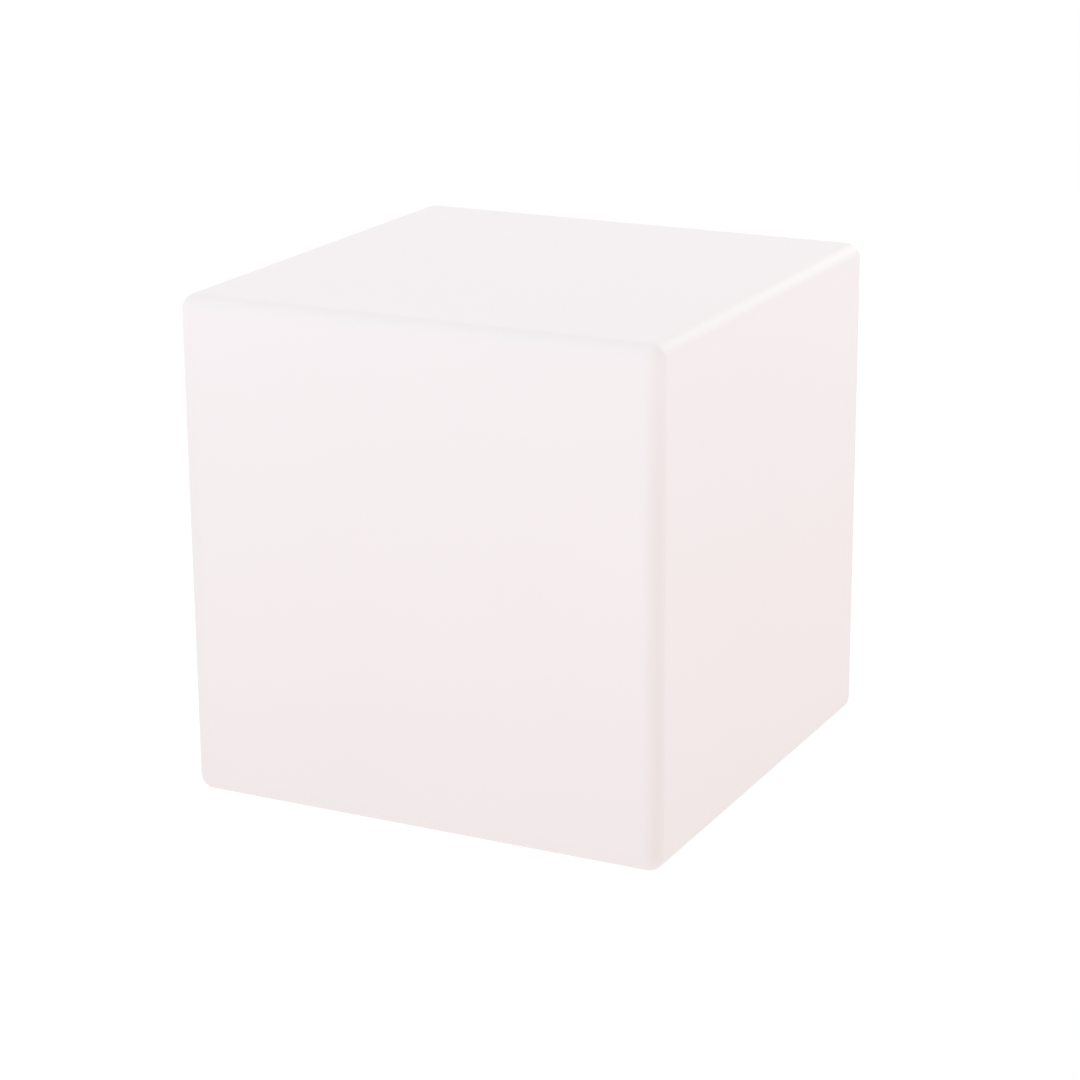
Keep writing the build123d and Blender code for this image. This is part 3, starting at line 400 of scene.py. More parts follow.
class Nodes:
    """A node tree in the making, and the one method that adds a node to it."""

    def __init__(self, owner):
        owner.use_nodes = True
        self.tree = owner.node_tree

    def node(self, kind, settings=None, sockets=None, out=0):
        """Adds a node: its settings or a ramp's stops first, then the values and links of its sockets."""
        made = self.tree.nodes.new(kind)
        for name, value in (settings or {}).items():
            if name == "stops":
                ramp = made.color_ramp.elements
                for i, (place, shade) in enumerate(value):
                    stop = ramp[i] if i < 2 else ramp.new(place)
                    stop.position = place
                    stop.color = (*shade, 1.0)
            else:
                setattr(made, name, value)
        for name, value in (sockets or {}).items():
            if isinstance(value, Signal):
                self.tree.links.new(value.socket, made.inputs[name])
            else:
                socket = made.inputs[name]
                socket.default_value = (*value, 1.0) if self.is_colour(socket, value) else value
        return Signal(self, made.outputs[out]) if made.outputs else None

    @staticmethod
    def is_colour(socket, value):
        return socket.type == "RGBA" and len(value) == 3

    def place(self, kind="Object"):
        return self.node("ShaderNodeTexCoord", out=kind)

    def axes(self, kind="Object"):
        """The three coordinates of a point of the piece, in metres."""
        split = self.node("ShaderNodeSeparateXYZ", sockets={0: self.place(kind)})
        sockets = split.socket.node.outputs
        return [Signal(self, sockets[i]) for i in range(3)]

    def noise(self, grain, detail=2.0, stretch=(1, 1, 1), roughness=0.5):
        """Even noise about 0.5, its lumps about as large as the grain, in metres."""
        scale = [share / grain for share in stretch]
        scaled = self.node("ShaderNodeVectorMath", {"operation": "MULTIPLY"}, {0: self.place(), 1: scale})
        return self.node(
            "ShaderNodeTexNoise",
            sockets={"Vector": scaled, "Scale": 1.0, "Detail": detail, "Roughness": roughness},
        )

    def mix(self, share, first, second, way="MIX"):
        """One colour turned into another, or added to it, by a share from 0 to 1."""
        settings = {"data_type": "RGBA", "blend_type": way}
        return self.node("ShaderNodeMix", settings, {"Factor": share, 6: first, 7: second}, out=2)

    def bump(self, height, depth, under=None):
        """A normal bumped by a height from 0 to 1, the depth in metres."""
        sockets = {"Height": height, "Distance": depth, "Strength": 1.0}
        if under:
            sockets["Normal"] = under
        return self.node("ShaderNodeBump", sockets=sockets)


class Paint(Nodes):
    """A material in the making: its shader, the values that are the same all over and those that vary."""

    def __init__(self, name, **uniform):
        self.material = bpy.data.materials.new(name)
        super().__init__(self.material)
        self.shader = self.tree.nodes["Principled BSDF"]
        for socket, value in uniform.items():
            socket = self.shader.inputs[socket.replace("_", " ").title().replace("Ior", "IOR")]
            socket.default_value = (*value, 1.0) if hasattr(value, "__len__") else value

    def feed(self, **signals):
        """Links what varies to the shader's sockets.  The material is given back."""
        for name, signal in signals.items():
            socket = self.shader.inputs[name.replace("_", " ").title()]
            self.tree.links.new(signal.socket, socket)
        return self.material


def shade(base, share):
    """A colour made lighter or darker by a share."""
    return tuple(min(1.0, max(0.0, c * share)) for c in base)


# ------------------------------------------------------------------ finishes
def shell_finish(colours, sizes):
    """Rotomoulded polyethylene: milky, faintly uneven, with a shallow orange peel and a soft inner light.

    The light carries painted shade and painted light: it is darker near the floor and lighter near the top,
    and dimmed along the edges as painted shade, most near the floor. It is gone in the recess."""
    paint = Paint("shell_polyethylene", roughness=0.46, specular_ior_level=0.4, emission_strength=1.0)
    cloud = paint.noise(0.11)
    speck = paint.noise(0.0035)
    tone = paint.mix(cloud, shade(colours.shell, 0.992), shade(colours.shell, 1.006))
    paint.feed(base_color=paint.mix(speck * 0.35, tone, shade(colours.shell, 0.985)))
    x, y, z = paint.axes()
    half = sizes.side / 2
    middle = sizes.underside + half
    farthest = abs(x).most(abs(y)).most(abs(z - middle))
    nearest = abs(x).least(abs(y)).least(abs(z - middle))
    second = abs(x) + abs(y) + abs(z - middle) - farthest - nearest
    # Painted shade: the glow is dimmed along the rounded edges, most near the floor and not at all at the
    # top.
    painted_edge_shade = second.above(half - 0.6 * sizes.edge_round, 1.7 * sizes.edge_round)
    level = z / sizes.side
    recess = span(x, y).below(sizes.recess_radius + sizes.recess_mouth, 2 * MM) * z.below(30 * MM, 6 * MM)
    shown = (1 - 0.5 * painted_edge_shade * (1 - level ** 8)) * (1 - recess)
    # Painted shade and painted light: the glow goes from darker near the floor to lighter at the top.
    glow = paint.mix(level, tuple(colours.low_glow_painted_shade), tuple(colours.high_glow_painted_light))
    paint.feed(emission_color=paint.mix(shown, BLACK, glow))
    peel = paint.bump(paint.noise(0.007, detail=1.0), 0.00004)
    return paint.feed(
        normal=paint.bump(paint.noise(0.0011), 0.000008, peel),
        roughness=0.43 + 0.07 * speck,
    )


def moulded_finish(name, tint, roughness=0.45, grain=0.0006, depth=0.00002, **uniform):
    """Injection-moulded plastic with a fine spark-eroded grain and a slightly uneven tone."""
    paint = Paint(name, **uniform)
    cloud = paint.noise(0.02)
    fine = paint.noise(grain, detail=3.0)
    return paint.feed(
        base_color=paint.mix(0.7 * cloud + 0.3 * fine, shade(tint, 0.94), shade(tint, 1.05)),
        roughness=roughness - 0.06 + 0.12 * fine,
        normal=paint.bump(fine, depth),
    )


def rubber_finish(name, tint, roughness=0.72, grain=0.0009, depth=0.000025):
    """Soft rubber: matt, a little mottled, with a light bloom of dust on it."""
    paint = Paint(name, sheen_weight=0.15, sheen_roughness=0.5, specular_ior_level=0.3)
    cloud = paint.noise(0.009, detail=4.0)
    fine = paint.noise(grain, detail=3.0)
    dust = paint.noise(0.004, detail=5.0, roughness=0.7).above(0.6, 0.2)
    tone = paint.mix(cloud, shade(tint, 0.86), shade(tint, 1.1))
    return paint.feed(
        base_color=paint.mix(dust * 0.10, tone, (0.62, 0.60, 0.57)),
        roughness=roughness + 0.12 * cloud,
        normal=paint.bump(fine, depth),
    )


def metal_finish(name, tint, roughness=0.3, grain=0.0008, stretch=(1, 1, 12), scratch=0.000006):
    """Bare metal with the fine lines that its tool left and small changes of tone."""
    paint = Paint(name, metallic=1.0)
    lines = paint.noise(grain, detail=4.0, stretch=stretch)
    cloud = paint.noise(0.005, detail=3.0)
    return paint.feed(
        base_color=paint.mix(0.5 * lines + 0.5 * cloud, shade(tint, 0.82), shade(tint, 1.08)),
        roughness=roughness - 0.08 + 0.22 * lines,
        normal=paint.bump(lines, scratch),
    )


def gloss_finish(name, tint, roughness=0.22, ripple=0.00002, **uniform):
    """Smooth moulded or shrunk plastic with a faint ripple and a few fine scuffs."""
    paint = Paint(name, **uniform)
    cloud = paint.noise(0.006, detail=3.0)
    scuff = paint.noise(0.0012, detail=5.0, stretch=(1, 6, 1), roughness=0.7).above(0.62, 0.1)
    return paint.feed(
        base_color=paint.mix(cloud, shade(tint, 0.9), shade(tint, 1.1)),
        roughness=roughness + 0.18 * scuff,
        normal=paint.bump(paint.noise(0.004, detail=1.0), ripple),
    )


def clear_finish():
    """The milky moulded pin that carries the charge lamp's light outside."""
    paint = Paint("light_pipe", transmission_weight=0.3, ior=1.49)
    cloud = paint.noise(0.0012)
    return paint.feed(
        base_color=paint.mix(cloud, (0.80, 0.87, 0.86), (0.90, 0.94, 0.94)),
        roughness=0.08 + 0.12 * paint.noise(0.0006, detail=3.0),
        normal=paint.bump(paint.noise(0.001), 0.000004),
    )


def frosted_finish():
    """Frosted cover: milky plastic that lets the LEDs' light through, with a fine etched surface."""
    paint = Paint("frosted_cover", transmission_weight=0.45, ior=1.45)
    cloud = paint.noise(0.02, detail=3.0)
    etch = paint.noise(0.0005, detail=4.0)
    return paint.feed(
        base_color=paint.mix(cloud, (0.86, 0.87, 0.87), (0.93, 0.94, 0.95)),
        roughness=0.5 + 0.12 * etch,
        normal=paint.bump(etch, 0.00001),
    )


def led_board_finish():
    """An aluminium board with a glossy white coat on top, ring tracks under the coat and bare edges."""
    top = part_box("led_board")[1].z
    paint = Paint("led_board_white")
    x, y, z = paint.axes()
    reach = span(x, y)
    rings = 0
    for radius, width in ((0.0315, 0.0026), (0.0405, 0.0030), (0.0165, 0.0022), (0.0255, 0.0024)):
        rings = rings + abs(reach - radius).below(width / 2, 0.0003)
    ringed = reach.above(0.0165, 0.0003) - reach.above(0.0405, 0.0003)
    spokes = abs(x).below(0.0009, 0.0003) * ringed
    tracks = (rings + spokes).least(1.0)
    coat = z.above(top - 0.0001, 0.00005)
    speck = paint.noise(0.0008, detail=4.0)
    brushed = paint.noise(0.0006, detail=3.0, stretch=(1, 14, 1))
    white = paint.mix(tracks, (0.87, 0.87, 0.84), (0.80, 0.80, 0.76))
    metal = paint.mix(brushed, (0.60, 0.60, 0.61), (0.78, 0.78, 0.79))
    return paint.feed(
        base_color=paint.mix(coat, metal, white),
        metallic=1 - coat,
        roughness=0.26 + 0.12 * speck + 0.12 * (1 - coat) * brushed,
        normal=paint.bump(tracks * coat + 0.15 * speck, 0.00004),
    )


def led_finish():
    """White packages, each with a glossy phosphor window that shows its four small dies."""
    paint = Paint("led_package", emission_strength=1.0, ior=1.5)
    x, y, _ = paint.axes()
    reach = span(x, y)
    turn = y.math("ARCTAN2", y, x)
    window, dies = 0, 0
    for circle, count in ((0.036, 12), (0.021, 6)):
        step = 2 * math.pi / count
        off = turn - step * (turn / step).math("ROUND")
        along = reach * off.math("COSINE") - circle
        across = reach * off.math("SINE")
        window = window + span(along, across).below(0.0020, 0.00015)
        die = abs(abs(along) - 0.0007).most(abs(abs(across) - 0.0007))
        dies = dies + die.below(0.00032, 0.00006)
    window, dies = window.least(1.0), dies.least(1.0)
    body = paint.mix(paint.noise(0.0012), (0.84, 0.84, 0.81), (0.90, 0.90, 0.88))
    gel = paint.mix(paint.noise(0.0007, detail=3.0), (0.84, 0.62, 0.14), (0.92, 0.74, 0.24))
    inside = paint.mix(dies, gel, (0.30, 0.21, 0.16))
    return paint.feed(
        base_color=paint.mix(window, body, inside),
        emission_color=paint.mix(window, BLACK, (0.16, 0.13, 0.06)),
        roughness=0.42 - 0.30 * window,
        normal=paint.bump(paint.noise(0.0005), 0.000006),
    )


def circuit_finish():
    """A glass-fibre board: green coat over tracks that run along X or Y by turns, pads, a woven ground."""
    paint = Paint("circuit_board", ior=1.5)
    x, y, _ = paint.axes()
    patch_sockets = {"Vector": paint.place(), "Scale": 130.0, "Randomness": 0.8}
    patch = paint.node("ShaderNodeTexVoronoi", {"distance": "CHEBYCHEV"}, patch_sockets, out=1)
    way = paint.node("ShaderNodeSeparateColor", sockets={0: patch}).above(0.5, 0.01)
    pitch = 0.0011
    lines_x, lines_y = [abs((axis / pitch).math("FRACT") - 0.5).below(0.2, 0.05) for axis in (x, y)]
    gaps = paint.noise(0.004, detail=1.0).above(0.42, 0.02)
    tracks = (lines_x * way + lines_y * (1 - way)) * gaps
    pad_sockets = {"Vector": paint.place(), "Scale": 300.0, "Randomness": 0.9}
    pads = paint.node("ShaderNodeTexVoronoi", sockets=pad_sockets).below(0.12, 0.02)
    warp = paint.noise(0.0006, detail=1.0, stretch=(1, 6, 1))
    weave = warp * 0.5 + paint.noise(0.0006, stretch=(6, 1, 1)) * 0.5
    ground = paint.mix(weave, (0.018, 0.15, 0.055), (0.028, 0.20, 0.075))
    coat = paint.mix(tracks, ground, (0.05, 0.33, 0.13))
    return paint.feed(
        base_color=paint.mix(pads, coat, (0.66, 0.64, 0.58)),
        metallic=0.9 * pads,
        roughness=0.28 + 0.1 * weave,
        normal=paint.bump(tracks + 0.8 * pads + 0.1 * weave, 0.00003),
    )


def chip_finish(name, node, body):
    """A black moulded body with a marking dot, and tinned legs along its two long sides."""
    low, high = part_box(node)
    paint = Paint(name)
    x, y, z = paint.axes()
    middle = (low.y + high.y) / 2
    legs = abs(y - middle).above(body / 2 + 0.00003, 0.00003)
    inset = 0.9 * MM
    spot = span(x - low.x - inset, y - middle + body / 2 - inset)
    dot = spot.below(0.0004, 0.00008) * z.above(high.z - 0.00005, 0.00002)
    grain = paint.noise(0.0003)
    black = paint.mix(grain, (0.022, 0.022, 0.024), (0.045, 0.045, 0.048))
    marked = paint.mix(dot, black, (0.10, 0.10, 0.10))
    tin = paint.mix(grain, (0.60, 0.60, 0.58), (0.74, 0.73, 0.70))
    return paint.feed(
        base_color=paint.mix(legs, marked, tin),
        metallic=legs,
        roughness=0.5 - 0.18 * legs + 0.1 * grain,
        normal=paint.bump(grain, 0.000012),
    )


def can_finish():
    """An aluminium can on a black foot, with the dark segment that marks its negative side."""
    low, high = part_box("storage_capacitor")
    paint = Paint("can_aluminium")
    x, _, z = paint.axes()
    can = z.above(low.z + 0.0006, 0.00005)
    band = (x - (low.x + high.x) / 2).above(0.0014, 0.0001) * z.above(high.z - 0.0004, 0.0001)
    drawn = paint.noise(0.0005, detail=3.0, stretch=(1, 1, 10))
    metal = paint.mix(drawn, (0.62, 0.62, 0.64), (0.80, 0.80, 0.82))
    dark = paint.mix(drawn, (0.03, 0.03, 0.035), (0.06, 0.06, 0.065))
    bare = can * (1 - band)
    return paint.feed(
        base_color=paint.mix(bare, dark, metal),
        metallic=bare,
        roughness=0.45 - 0.15 * bare + 0.1 * drawn,
        normal=paint.bump(drawn, 0.000008),
    )


def cell_finish():
    """A cell in shrunk film that is turned in over its ends, with a paper ring round its bare tip."""
    low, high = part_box("battery_cell_1")
    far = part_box("battery_cell_2")[1]
    paint = Paint("cell_wrap", coat_roughness=0.2)
    x, y, z = paint.axes()
    middle_y, middle_z = (low.y + far.y) / 2, (low.z + high.z) / 2
    offset = (far.y - low.y) / 2 - (high.z - low.z) / 2
    away = span(abs(y - middle_y) - offset, z - middle_z)
    tip_face, end_depth, film_reach, tip_reach = high.x - MM, 0.3 * MM, 7.6 * MM, 3.2 * MM
    open_end = away.below(film_reach, 0.1 * MM)
    flat_end = (low.x + end_depth - x).above(0, 0.05 * MM) * open_end
    tip_end = (x - tip_face + end_depth).above(0, 0.05 * MM) * open_end
    paper = tip_end * away.above(tip_reach, 0.1 * MM)
    metal = (flat_end + tip_end * away.below(tip_reach, 0.1 * MM)).least(1.0)
    ripple = paint.noise(0.004, stretch=(0.4, 1, 1))
    film = paint.mix(ripple, (0.012, 0.16, 0.13), (0.022, 0.23, 0.19))
    steel = paint.mix(paint.noise(0.0006, detail=3.0), (0.55, 0.55, 0.54), (0.72, 0.71, 0.69))
    papered = paint.mix(paper, film, (0.82, 0.81, 0.77))
    return paint.feed(
        base_color=paint.mix(metal, papered, steel),
        metallic=metal,
        roughness=0.24 + 0.4 * paper + 0.1 * ripple,
        normal=paint.bump(ripple, 0.00004),
    )


def sleeve_finish():
    """Blue shrink film, tight along the cells and puckered where it ends."""
    low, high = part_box("battery_sleeve")
    paint = Paint("sleeve_blue", ior=1.5, coat_weight=0.3, coat_roughness=0.1)
    x, _, _ = paint.axes()
    ends = abs(x - (low.x + high.x) / 2).above((high.x - low.x) / 2 - 6 * MM, 6 * MM)
    pucker = paint.noise(0.0018, stretch=(0.25, 1, 1))
    cloud = paint.noise(0.012)
    return paint.feed(
        base_color=paint.mix(cloud, (0.008, 0.055, 0.26), (0.016, 0.085, 0.36)),
        roughness=0.2 + 0.1 * cloud + 0.12 * ends,
        normal=paint.bump(pucker * (0.15 + 0.85 * ends), 0.00016),
    )


def nickel_finish():
    """Rolled nickel strip with pairs of spot welds over each cell."""
    low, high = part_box("battery_tabs")
    near, far, cell_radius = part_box("battery_cell_1")[0].y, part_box("battery_cell_2")[1].y, 9.2 * MM
    paint = Paint("nickel")
    _, y, z = paint.axes()
    middle_y, middle_z = (low.y + high.y) / 2, (low.z + high.z) / 2
    offset = (far - near) / 2 - cell_radius
    weld_y = abs(abs(abs(y - middle_y) - offset) - 0.0013)
    weld_z = abs(abs(z - middle_z) - 0.0012)
    welds = span(weld_y, weld_z).below(0.0004, 0.0002)
    rolled = paint.noise(0.0007, detail=4.0, stretch=(1, 0.15, 1))
    tint = paint.mix(rolled, (0.56, 0.54, 0.50), (0.74, 0.72, 0.68))
    return paint.feed(
        base_color=paint.mix(0.7 * welds, tint, (0.22, 0.19, 0.16)),
        metallic=1 - 0.3 * welds,
        roughness=0.3 + 0.15 * rolled + 0.2 * welds,
        normal=paint.bump(0.2 * rolled - welds, 0.00006),
    )


def button_finish(tint):
    """The button's fine-grained plastic, with white filled into its engraved power mark."""
    low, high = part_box("power_button")
    paint = Paint("button_plastic")
    x, y, z = paint.axes()
    engraved = z.above(low.z + 0.47 * MM, 0.06 * MM) * z.below(low.z + 0.9 * MM, 0.1 * MM)
    away = span(x - (low.x + high.x) / 2, y - (low.y + high.y) / 2)
    mark = engraved * away.below(4.2 * MM, 0.1 * MM)
    fine = paint.noise(0.0004, detail=3.0)
    cloud = paint.noise(0.006)
    body = paint.mix(0.6 * cloud + 0.4 * fine, shade(tint, 0.92), shade(tint, 1.07))
    return paint.feed(
        base_color=paint.mix(mark, body, (0.86, 0.86, 0.85)),
        roughness=0.36 + 0.12 * fine,
        normal=paint.bump(fine, 0.000015),
    )


def base_finish(tint):
    """The light unit's moulded plastic, with grey filled into the engraved polarity mark."""
    paint = Paint("base_plastic")
    x, y, z = paint.axes()
    jack_low, jack_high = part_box("jack_nut")
    jack_x = (jack_low.x + jack_high.x) / 2
    blur, mark_y, mark_length, mark_width = 0.1 * MM, -3 * MM, 17 * MM, 5.2 * MM
    engraved = z.above(BASE_PLATE_FACE + 0.15 * MM, blur) * z.below(BASE_PLATE_FACE + 0.4 * MM, blur)
    field = abs(x - jack_x).below(mark_length / 2, blur) * abs(y - mark_y).below(mark_width / 2, blur)
    cloud = paint.noise(0.03)
    fine = paint.noise(0.0006, detail=3.0)
    body = paint.mix(0.6 * cloud + 0.4 * fine, shade(tint, 0.95), shade(tint, 1.04))
    return paint.feed(
        base_color=paint.mix(0.9 * engraved * field, body, (0.20, 0.20, 0.21)),
        roughness=0.42 + 0.14 * fine,
        normal=paint.bump(fine, 0.00002),
    )


def steel(name, stretch=(1, 1, 12)):
    return metal_finish(name, (0.60, 0.60, 0.61), 0.3, stretch=stretch)


def dress_nodes(colours):
    """Gives each node that is still shown its own finish."""
    finishes = (
        (base_finish(tuple(colours.base)), "unit_base"),
        (button_finish(tuple(colours.button)), "power_button"),
        (rubber_finish("gasket_silicone", (0.62, 0.62, 0.61), 0.5), "unit_gasket"),
        (
            rubber_finish("seal_silicone", (0.40, 0.07, 0.035), 0.45),
            "cover_seal", "button_seal", "jack_washer",
        ),
        (frosted_finish(), "diffuser_cover"),
        (led_board_finish(), "led_board"),
        (led_finish(), "leds"),
        (metal_finish("standoff_brass", (0.78, 0.57, 0.24), 0.26, stretch=(1, 1, 8)), "led_board_standoffs"),
        (gloss_finish("receiver_black", (0.020, 0.012, 0.020), 0.12), "remote_receiver"),
        (circuit_finish(), "control_board", "battery_guard_board"),
        (chip_finish("control_chip", "control_chip", 4 * MM), "control_chip"),
        (chip_finish("charge_chip", "charge_chip", 4 * MM), "charge_chip"),
        (chip_finish("led_drivers", "led_drivers", 1.6 * MM), "led_drivers"),
        (moulded_finish("ferrite", (0.055, 0.055, 0.06), 0.55, 0.0003, 0.00003), "power_coil"),
        (can_finish(), "storage_capacitor"),
        (gloss_finish("lamp_window", (0.86, 0.86, 0.78), 0.2), "charge_lamp"),
        (clear_finish(), "indicator_light_pipe"),
        (cell_finish(), "battery_cell_1", "battery_cell_2"),
        (nickel_finish(), "battery_tabs"),
        (sleeve_finish(), "battery_sleeve"),
        (moulded_finish("strap_nylon", (0.035, 0.035, 0.037), 0.5), "battery_strap"),
        (moulded_finish("switch_black", (0.03, 0.03, 0.032), 0.42, 0.0004), "switch_body"),
        (moulded_finish("plunger_acetal", (0.80, 0.80, 0.79), 0.35, 0.0005, 0.00001), "switch_plunger"),
        (moulded_finish("jack_black", (0.025, 0.025, 0.027), 0.4, 0.0004, 0.00001), "jack_insulator"),
        (metal_finish("tinned_lug", (0.74, 0.72, 0.68), 0.3), "jack_lug"),
        (
            metal_finish("plated_metal", (0.78, 0.77, 0.74), 0.2, 0.0006, (1, 1, 4), 0.000003),
            "jack_barrel", "jack_pin", "jack_nut",
        ),
        (
            moulded_finish("socket_nylon", (0.80, 0.77, 0.66), 0.38, 0.0004, 0.00001),
            "led_board_socket", "led_socket", "battery_socket", "jack_socket",
        ),
        (gloss_finish("lead_white", (0.80, 0.80, 0.78), 0.38), "led_lead"),
        (gloss_finish("lead_red", (0.50, 0.018, 0.014), 0.36), "jack_lead_red", "battery_lead_red"),
        (gloss_finish("lead_black", (0.02, 0.02, 0.021), 0.36), "jack_lead_black", "battery_lead_black"),
    )
    dressed = {node: finish for finish, *nodes in finishes for node in nodes}
    for node, finish in dressed.items():
        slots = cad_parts[node].data.materials
        slots.clear()
        slots.append(finish)
    bare = [n for n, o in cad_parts.items() if not o.hide_render and n not in dressed]
    if bare:
        raise RuntimeError(f"nodes with no finish: {sorted(bare)}")


# ------------------------------------------------------------------ pieces
def rounded_cube(name, side, middle, radius, steps):
    """A cube with round edges and corners, its middle at this height."""
    cube = start("cube", name, size=side, location=(0, 0, middle))
    edit(cube, "EDGE")
    bpy.ops.mesh.bevel(offset=radius, segments=steps, profile=0.5, affect="EDGES")
    done()
    return cube


def sink_faces(cube, sizes):
    """Draws in the middle of each face but the underside, along one smooth hollow."""
    flat = (sizes.side - 2 * sizes.edge_round) * 0.98
    rim = 4 * MM
    for normal in ((1, 0, 0), (-1, 0, 0), (0, 1, 0), (0, -1, 0), (0, 0, 1)):
        towards = Vector(normal)
        middle = Vector((0, 0, sizes.underside + sizes.side / 2)) + towards * sizes.side / 2
        edit(cube, "FACE")
        pick(cube, "faces", lambda f: f.normal.dot(towards) > 0.999 and f.calc_area() > flat * flat)
        bpy.ops.mesh.inset(thickness=rim, depth=0.0)
        bpy.ops.mesh.subdivide(number_cuts=23)
        bpy.ops.mesh.select_mode(type="VERT")
        pick(cube, "verts", lambda v: (v.co - middle).length < 0.0001)
        bpy.ops.transform.translate(
            value=towards * -sizes.face_sink,
            use_proportional_edit=True,
            proportional_edit_falloff="SMOOTH",
            proportional_size=sizes.side / 2 - sizes.edge_round - 1.5 * rim,
        )
        done()


def mould_shell(sizes, fixings, paint):
    """The hollow cube, with the well and bosses in its underside and the holes that are cut there."""
    low, ceiling = sizes.underside, sizes.recess_ceiling
    middle = low + sizes.side / 2
    shell = rounded_cube("moulded_shell", sizes.side, middle, sizes.edge_round, 16)
    sink_faces(shell, sizes)
    inside = rounded_cube("hollow", sizes.side - 2 * sizes.wall, middle, sizes.edge_round - sizes.wall, 8)
    combine(shell, inside, "DIFFERENCE")

    seat_top = ceiling + sizes.wall
    outer = sizes.recess_radius + sizes.wall
    edge = (outer - sizes.wall, seat_top - sizes.wall)
    outline = [(0, low + MM), (outer, low + MM), *arc(edge, sizes.wall, 0, 90), (0, seat_top)]
    combine(shell, turned("well", outline, 128), "UNION")
    boss = fixings.insert_radius + fixings.boss_wall
    boss_top = fixings.insert_length + fixings.screw_room + fixings.boss_end
    edge = (boss / 2, boss_top - boss / 2)
    bosses = turned("bosses", [(0, MM), (boss, MM), *arc(edge, boss / 2, 0, 90), (0, boss_top)], 40)
    combine(shell, copies(bosses, on_circle(fixings.flange_circle, fixings.count, ceiling)), "UNION")

    mouth, corner = sizes.recess_mouth, sizes.recess_corner
    recess_mouth = (sizes.recess_radius + mouth, low + mouth)
    recess_corner = (sizes.recess_radius - corner, ceiling - corner)
    below = low - 5 * MM
    outline = [(0, below), (recess_mouth[0], below), *arc(recess_mouth, mouth, 270, 180, 8)]
    outline += [*arc(recess_corner, corner, 0, 90), (0, ceiling)]
    combine(shell, turned("recess", outline, 160), "DIFFERENCE")
    lip = sizes.opening_round
    edge = (sizes.opening_radius + lip, ceiling + lip)
    outline = [(0, ceiling - MM), (edge[0], ceiling - MM), *arc(edge, lip, 270, 180, 4)]
    outline += [(sizes.opening_radius, boss_top + ceiling), (0, boss_top + ceiling)]
    combine(shell, turned("opening", outline, 160), "DIFFERENCE")
    hole, pilot, depth = fixings.insert_radius, 2.25 * MM, fixings.insert_length
    end = depth + fixings.screw_room
    outline = [(0, -MM), (hole, -MM), (hole, depth), (pilot, depth), (pilot, end), (0, end)]
    holes = turned("holes", outline, 32)
    combine(shell, copies(holes, on_circle(fixings.flange_circle, fixings.count, ceiling)), "DIFFERENCE")
    pocket = sizes.foot_radius + sizes.pocket_gap
    height = sizes.foot_height
    pockets = turned("pockets", [(0, 0), (pocket, 0), (pocket, height), (0, height)], 64)
    combine(shell, copies(pockets, [(*place, 0) for place in foot_places(sizes).values()]), "DIFFERENCE")
    smooth(shell)
    fit(shell, "housing", "shell", paint, "cube_shell")


def foot_places(sizes):
    far = sizes.foot_offset
    return {
        "front_left": (-far, -far),
        "front_right": (far, -far),
        "back_left": (-far, far),
        "back_right": (far, far),
    }


def mould_feet(sizes, paint):
    """Each foot has a rounded rim, a tread of rings and a sunk middle."""
    radius, height = sizes.foot_radius, sizes.foot_height
    rim, back_edge = 0.8 * MM, 0.2 * MM
    dimple, dimple_depth, dimple_round = 1.6 * MM, 0.7 * MM, 0.3 * MM
    groove, slope, depth = 0.8 * MM, 0.25 * MM, 0.45 * MM
    outline = [(0, dimple_depth), (dimple, dimple_depth)]
    outline += arc((2 * MM, dimple_round), dimple_round, 180, 270, 3)
    for inner in (4.5 * MM, 7.2 * MM, 9.9 * MM):
        near, far = inner + slope, inner + slope + groove
        outline += [(inner, 0), (near, depth), (far, depth), (far + slope, 0)]
    outline += arc((radius - rim, rim), rim, 270, 360, 5)
    outline += [(radius, height - back_edge), (radius - back_edge, height), (0, height)]
    first = turned("rubber_foot", outline, 72)
    smooth(first)
    for name, (x, y) in foot_places(sizes).items():
        only(first)
        bpy.ops.object.duplicate(linked=False)
        foot = bpy.context.active_object
        foot.name = foot.data.name = "rubber_foot_" + name
        bpy.ops.transform.translate(value=(x, y, 0))
        bpy.ops.object.transform_apply(location=True, rotation=False, scale=False)
        fit(foot, "housing", "foot_rubber", paint, "foot_" + name)
    bpy.data.objects.remove(first)


def cut_thread(piece, radius, low, high, pitch, depth):
    """Moves the points of a shank or bore to and fro along a helix, fading out at both ends."""
    for point in piece.data.vertices:
        x, y, z = point.co
        reach = math.hypot(x, y)
        if low <= z <= high and abs(reach - radius) < 0.02 * radius:
            phase = (z / pitch - math.atan2(y, x) / (2 * math.pi)) % 1
            fade = min(1.0, (z - low) / pitch, (high - z) / pitch)
            moved = 1 - depth * (1 - abs(2 * phase - 1)) * fade / reach
            point.co.x, point.co.y = x * moved, y * moved


def even_steps(radius, low, high, step):
    """Points up a straight line of an outline, close enough together to carry a thread."""
    count = max(1, round((high - low) / step))
    return [(radius, low + (high - low) * i / count) for i in range(count + 1)]


def cross_cutter(head, width, depth, turn):
    """One tapered arm of a screw's cross recess, from z = 0 up."""
    arm = start("cube", "arm", size=1, location=(0, 0, 0.5))
    edit(arm)
    bpy.ops.transform.resize(value=(1.15 * head, width, depth), center_override=(0, 0, 0))
    pick(arm, "verts", lambda v: v.co.z > depth / 2)
    bpy.ops.transform.resize(value=(0.5, 0.7, 1), center_override=(0, 0, depth))
    pick(arm, "verts", lambda v: v.co.z < depth / 2)
    bpy.ops.transform.translate(value=(0, 0, -0.05 * MM))
    bpy.ops.mesh.select_all(action="SELECT")
    bpy.ops.transform.rotate(value=turn, orient_axis="Z", center_override=(0, 0, 0))
    done()
    return arm


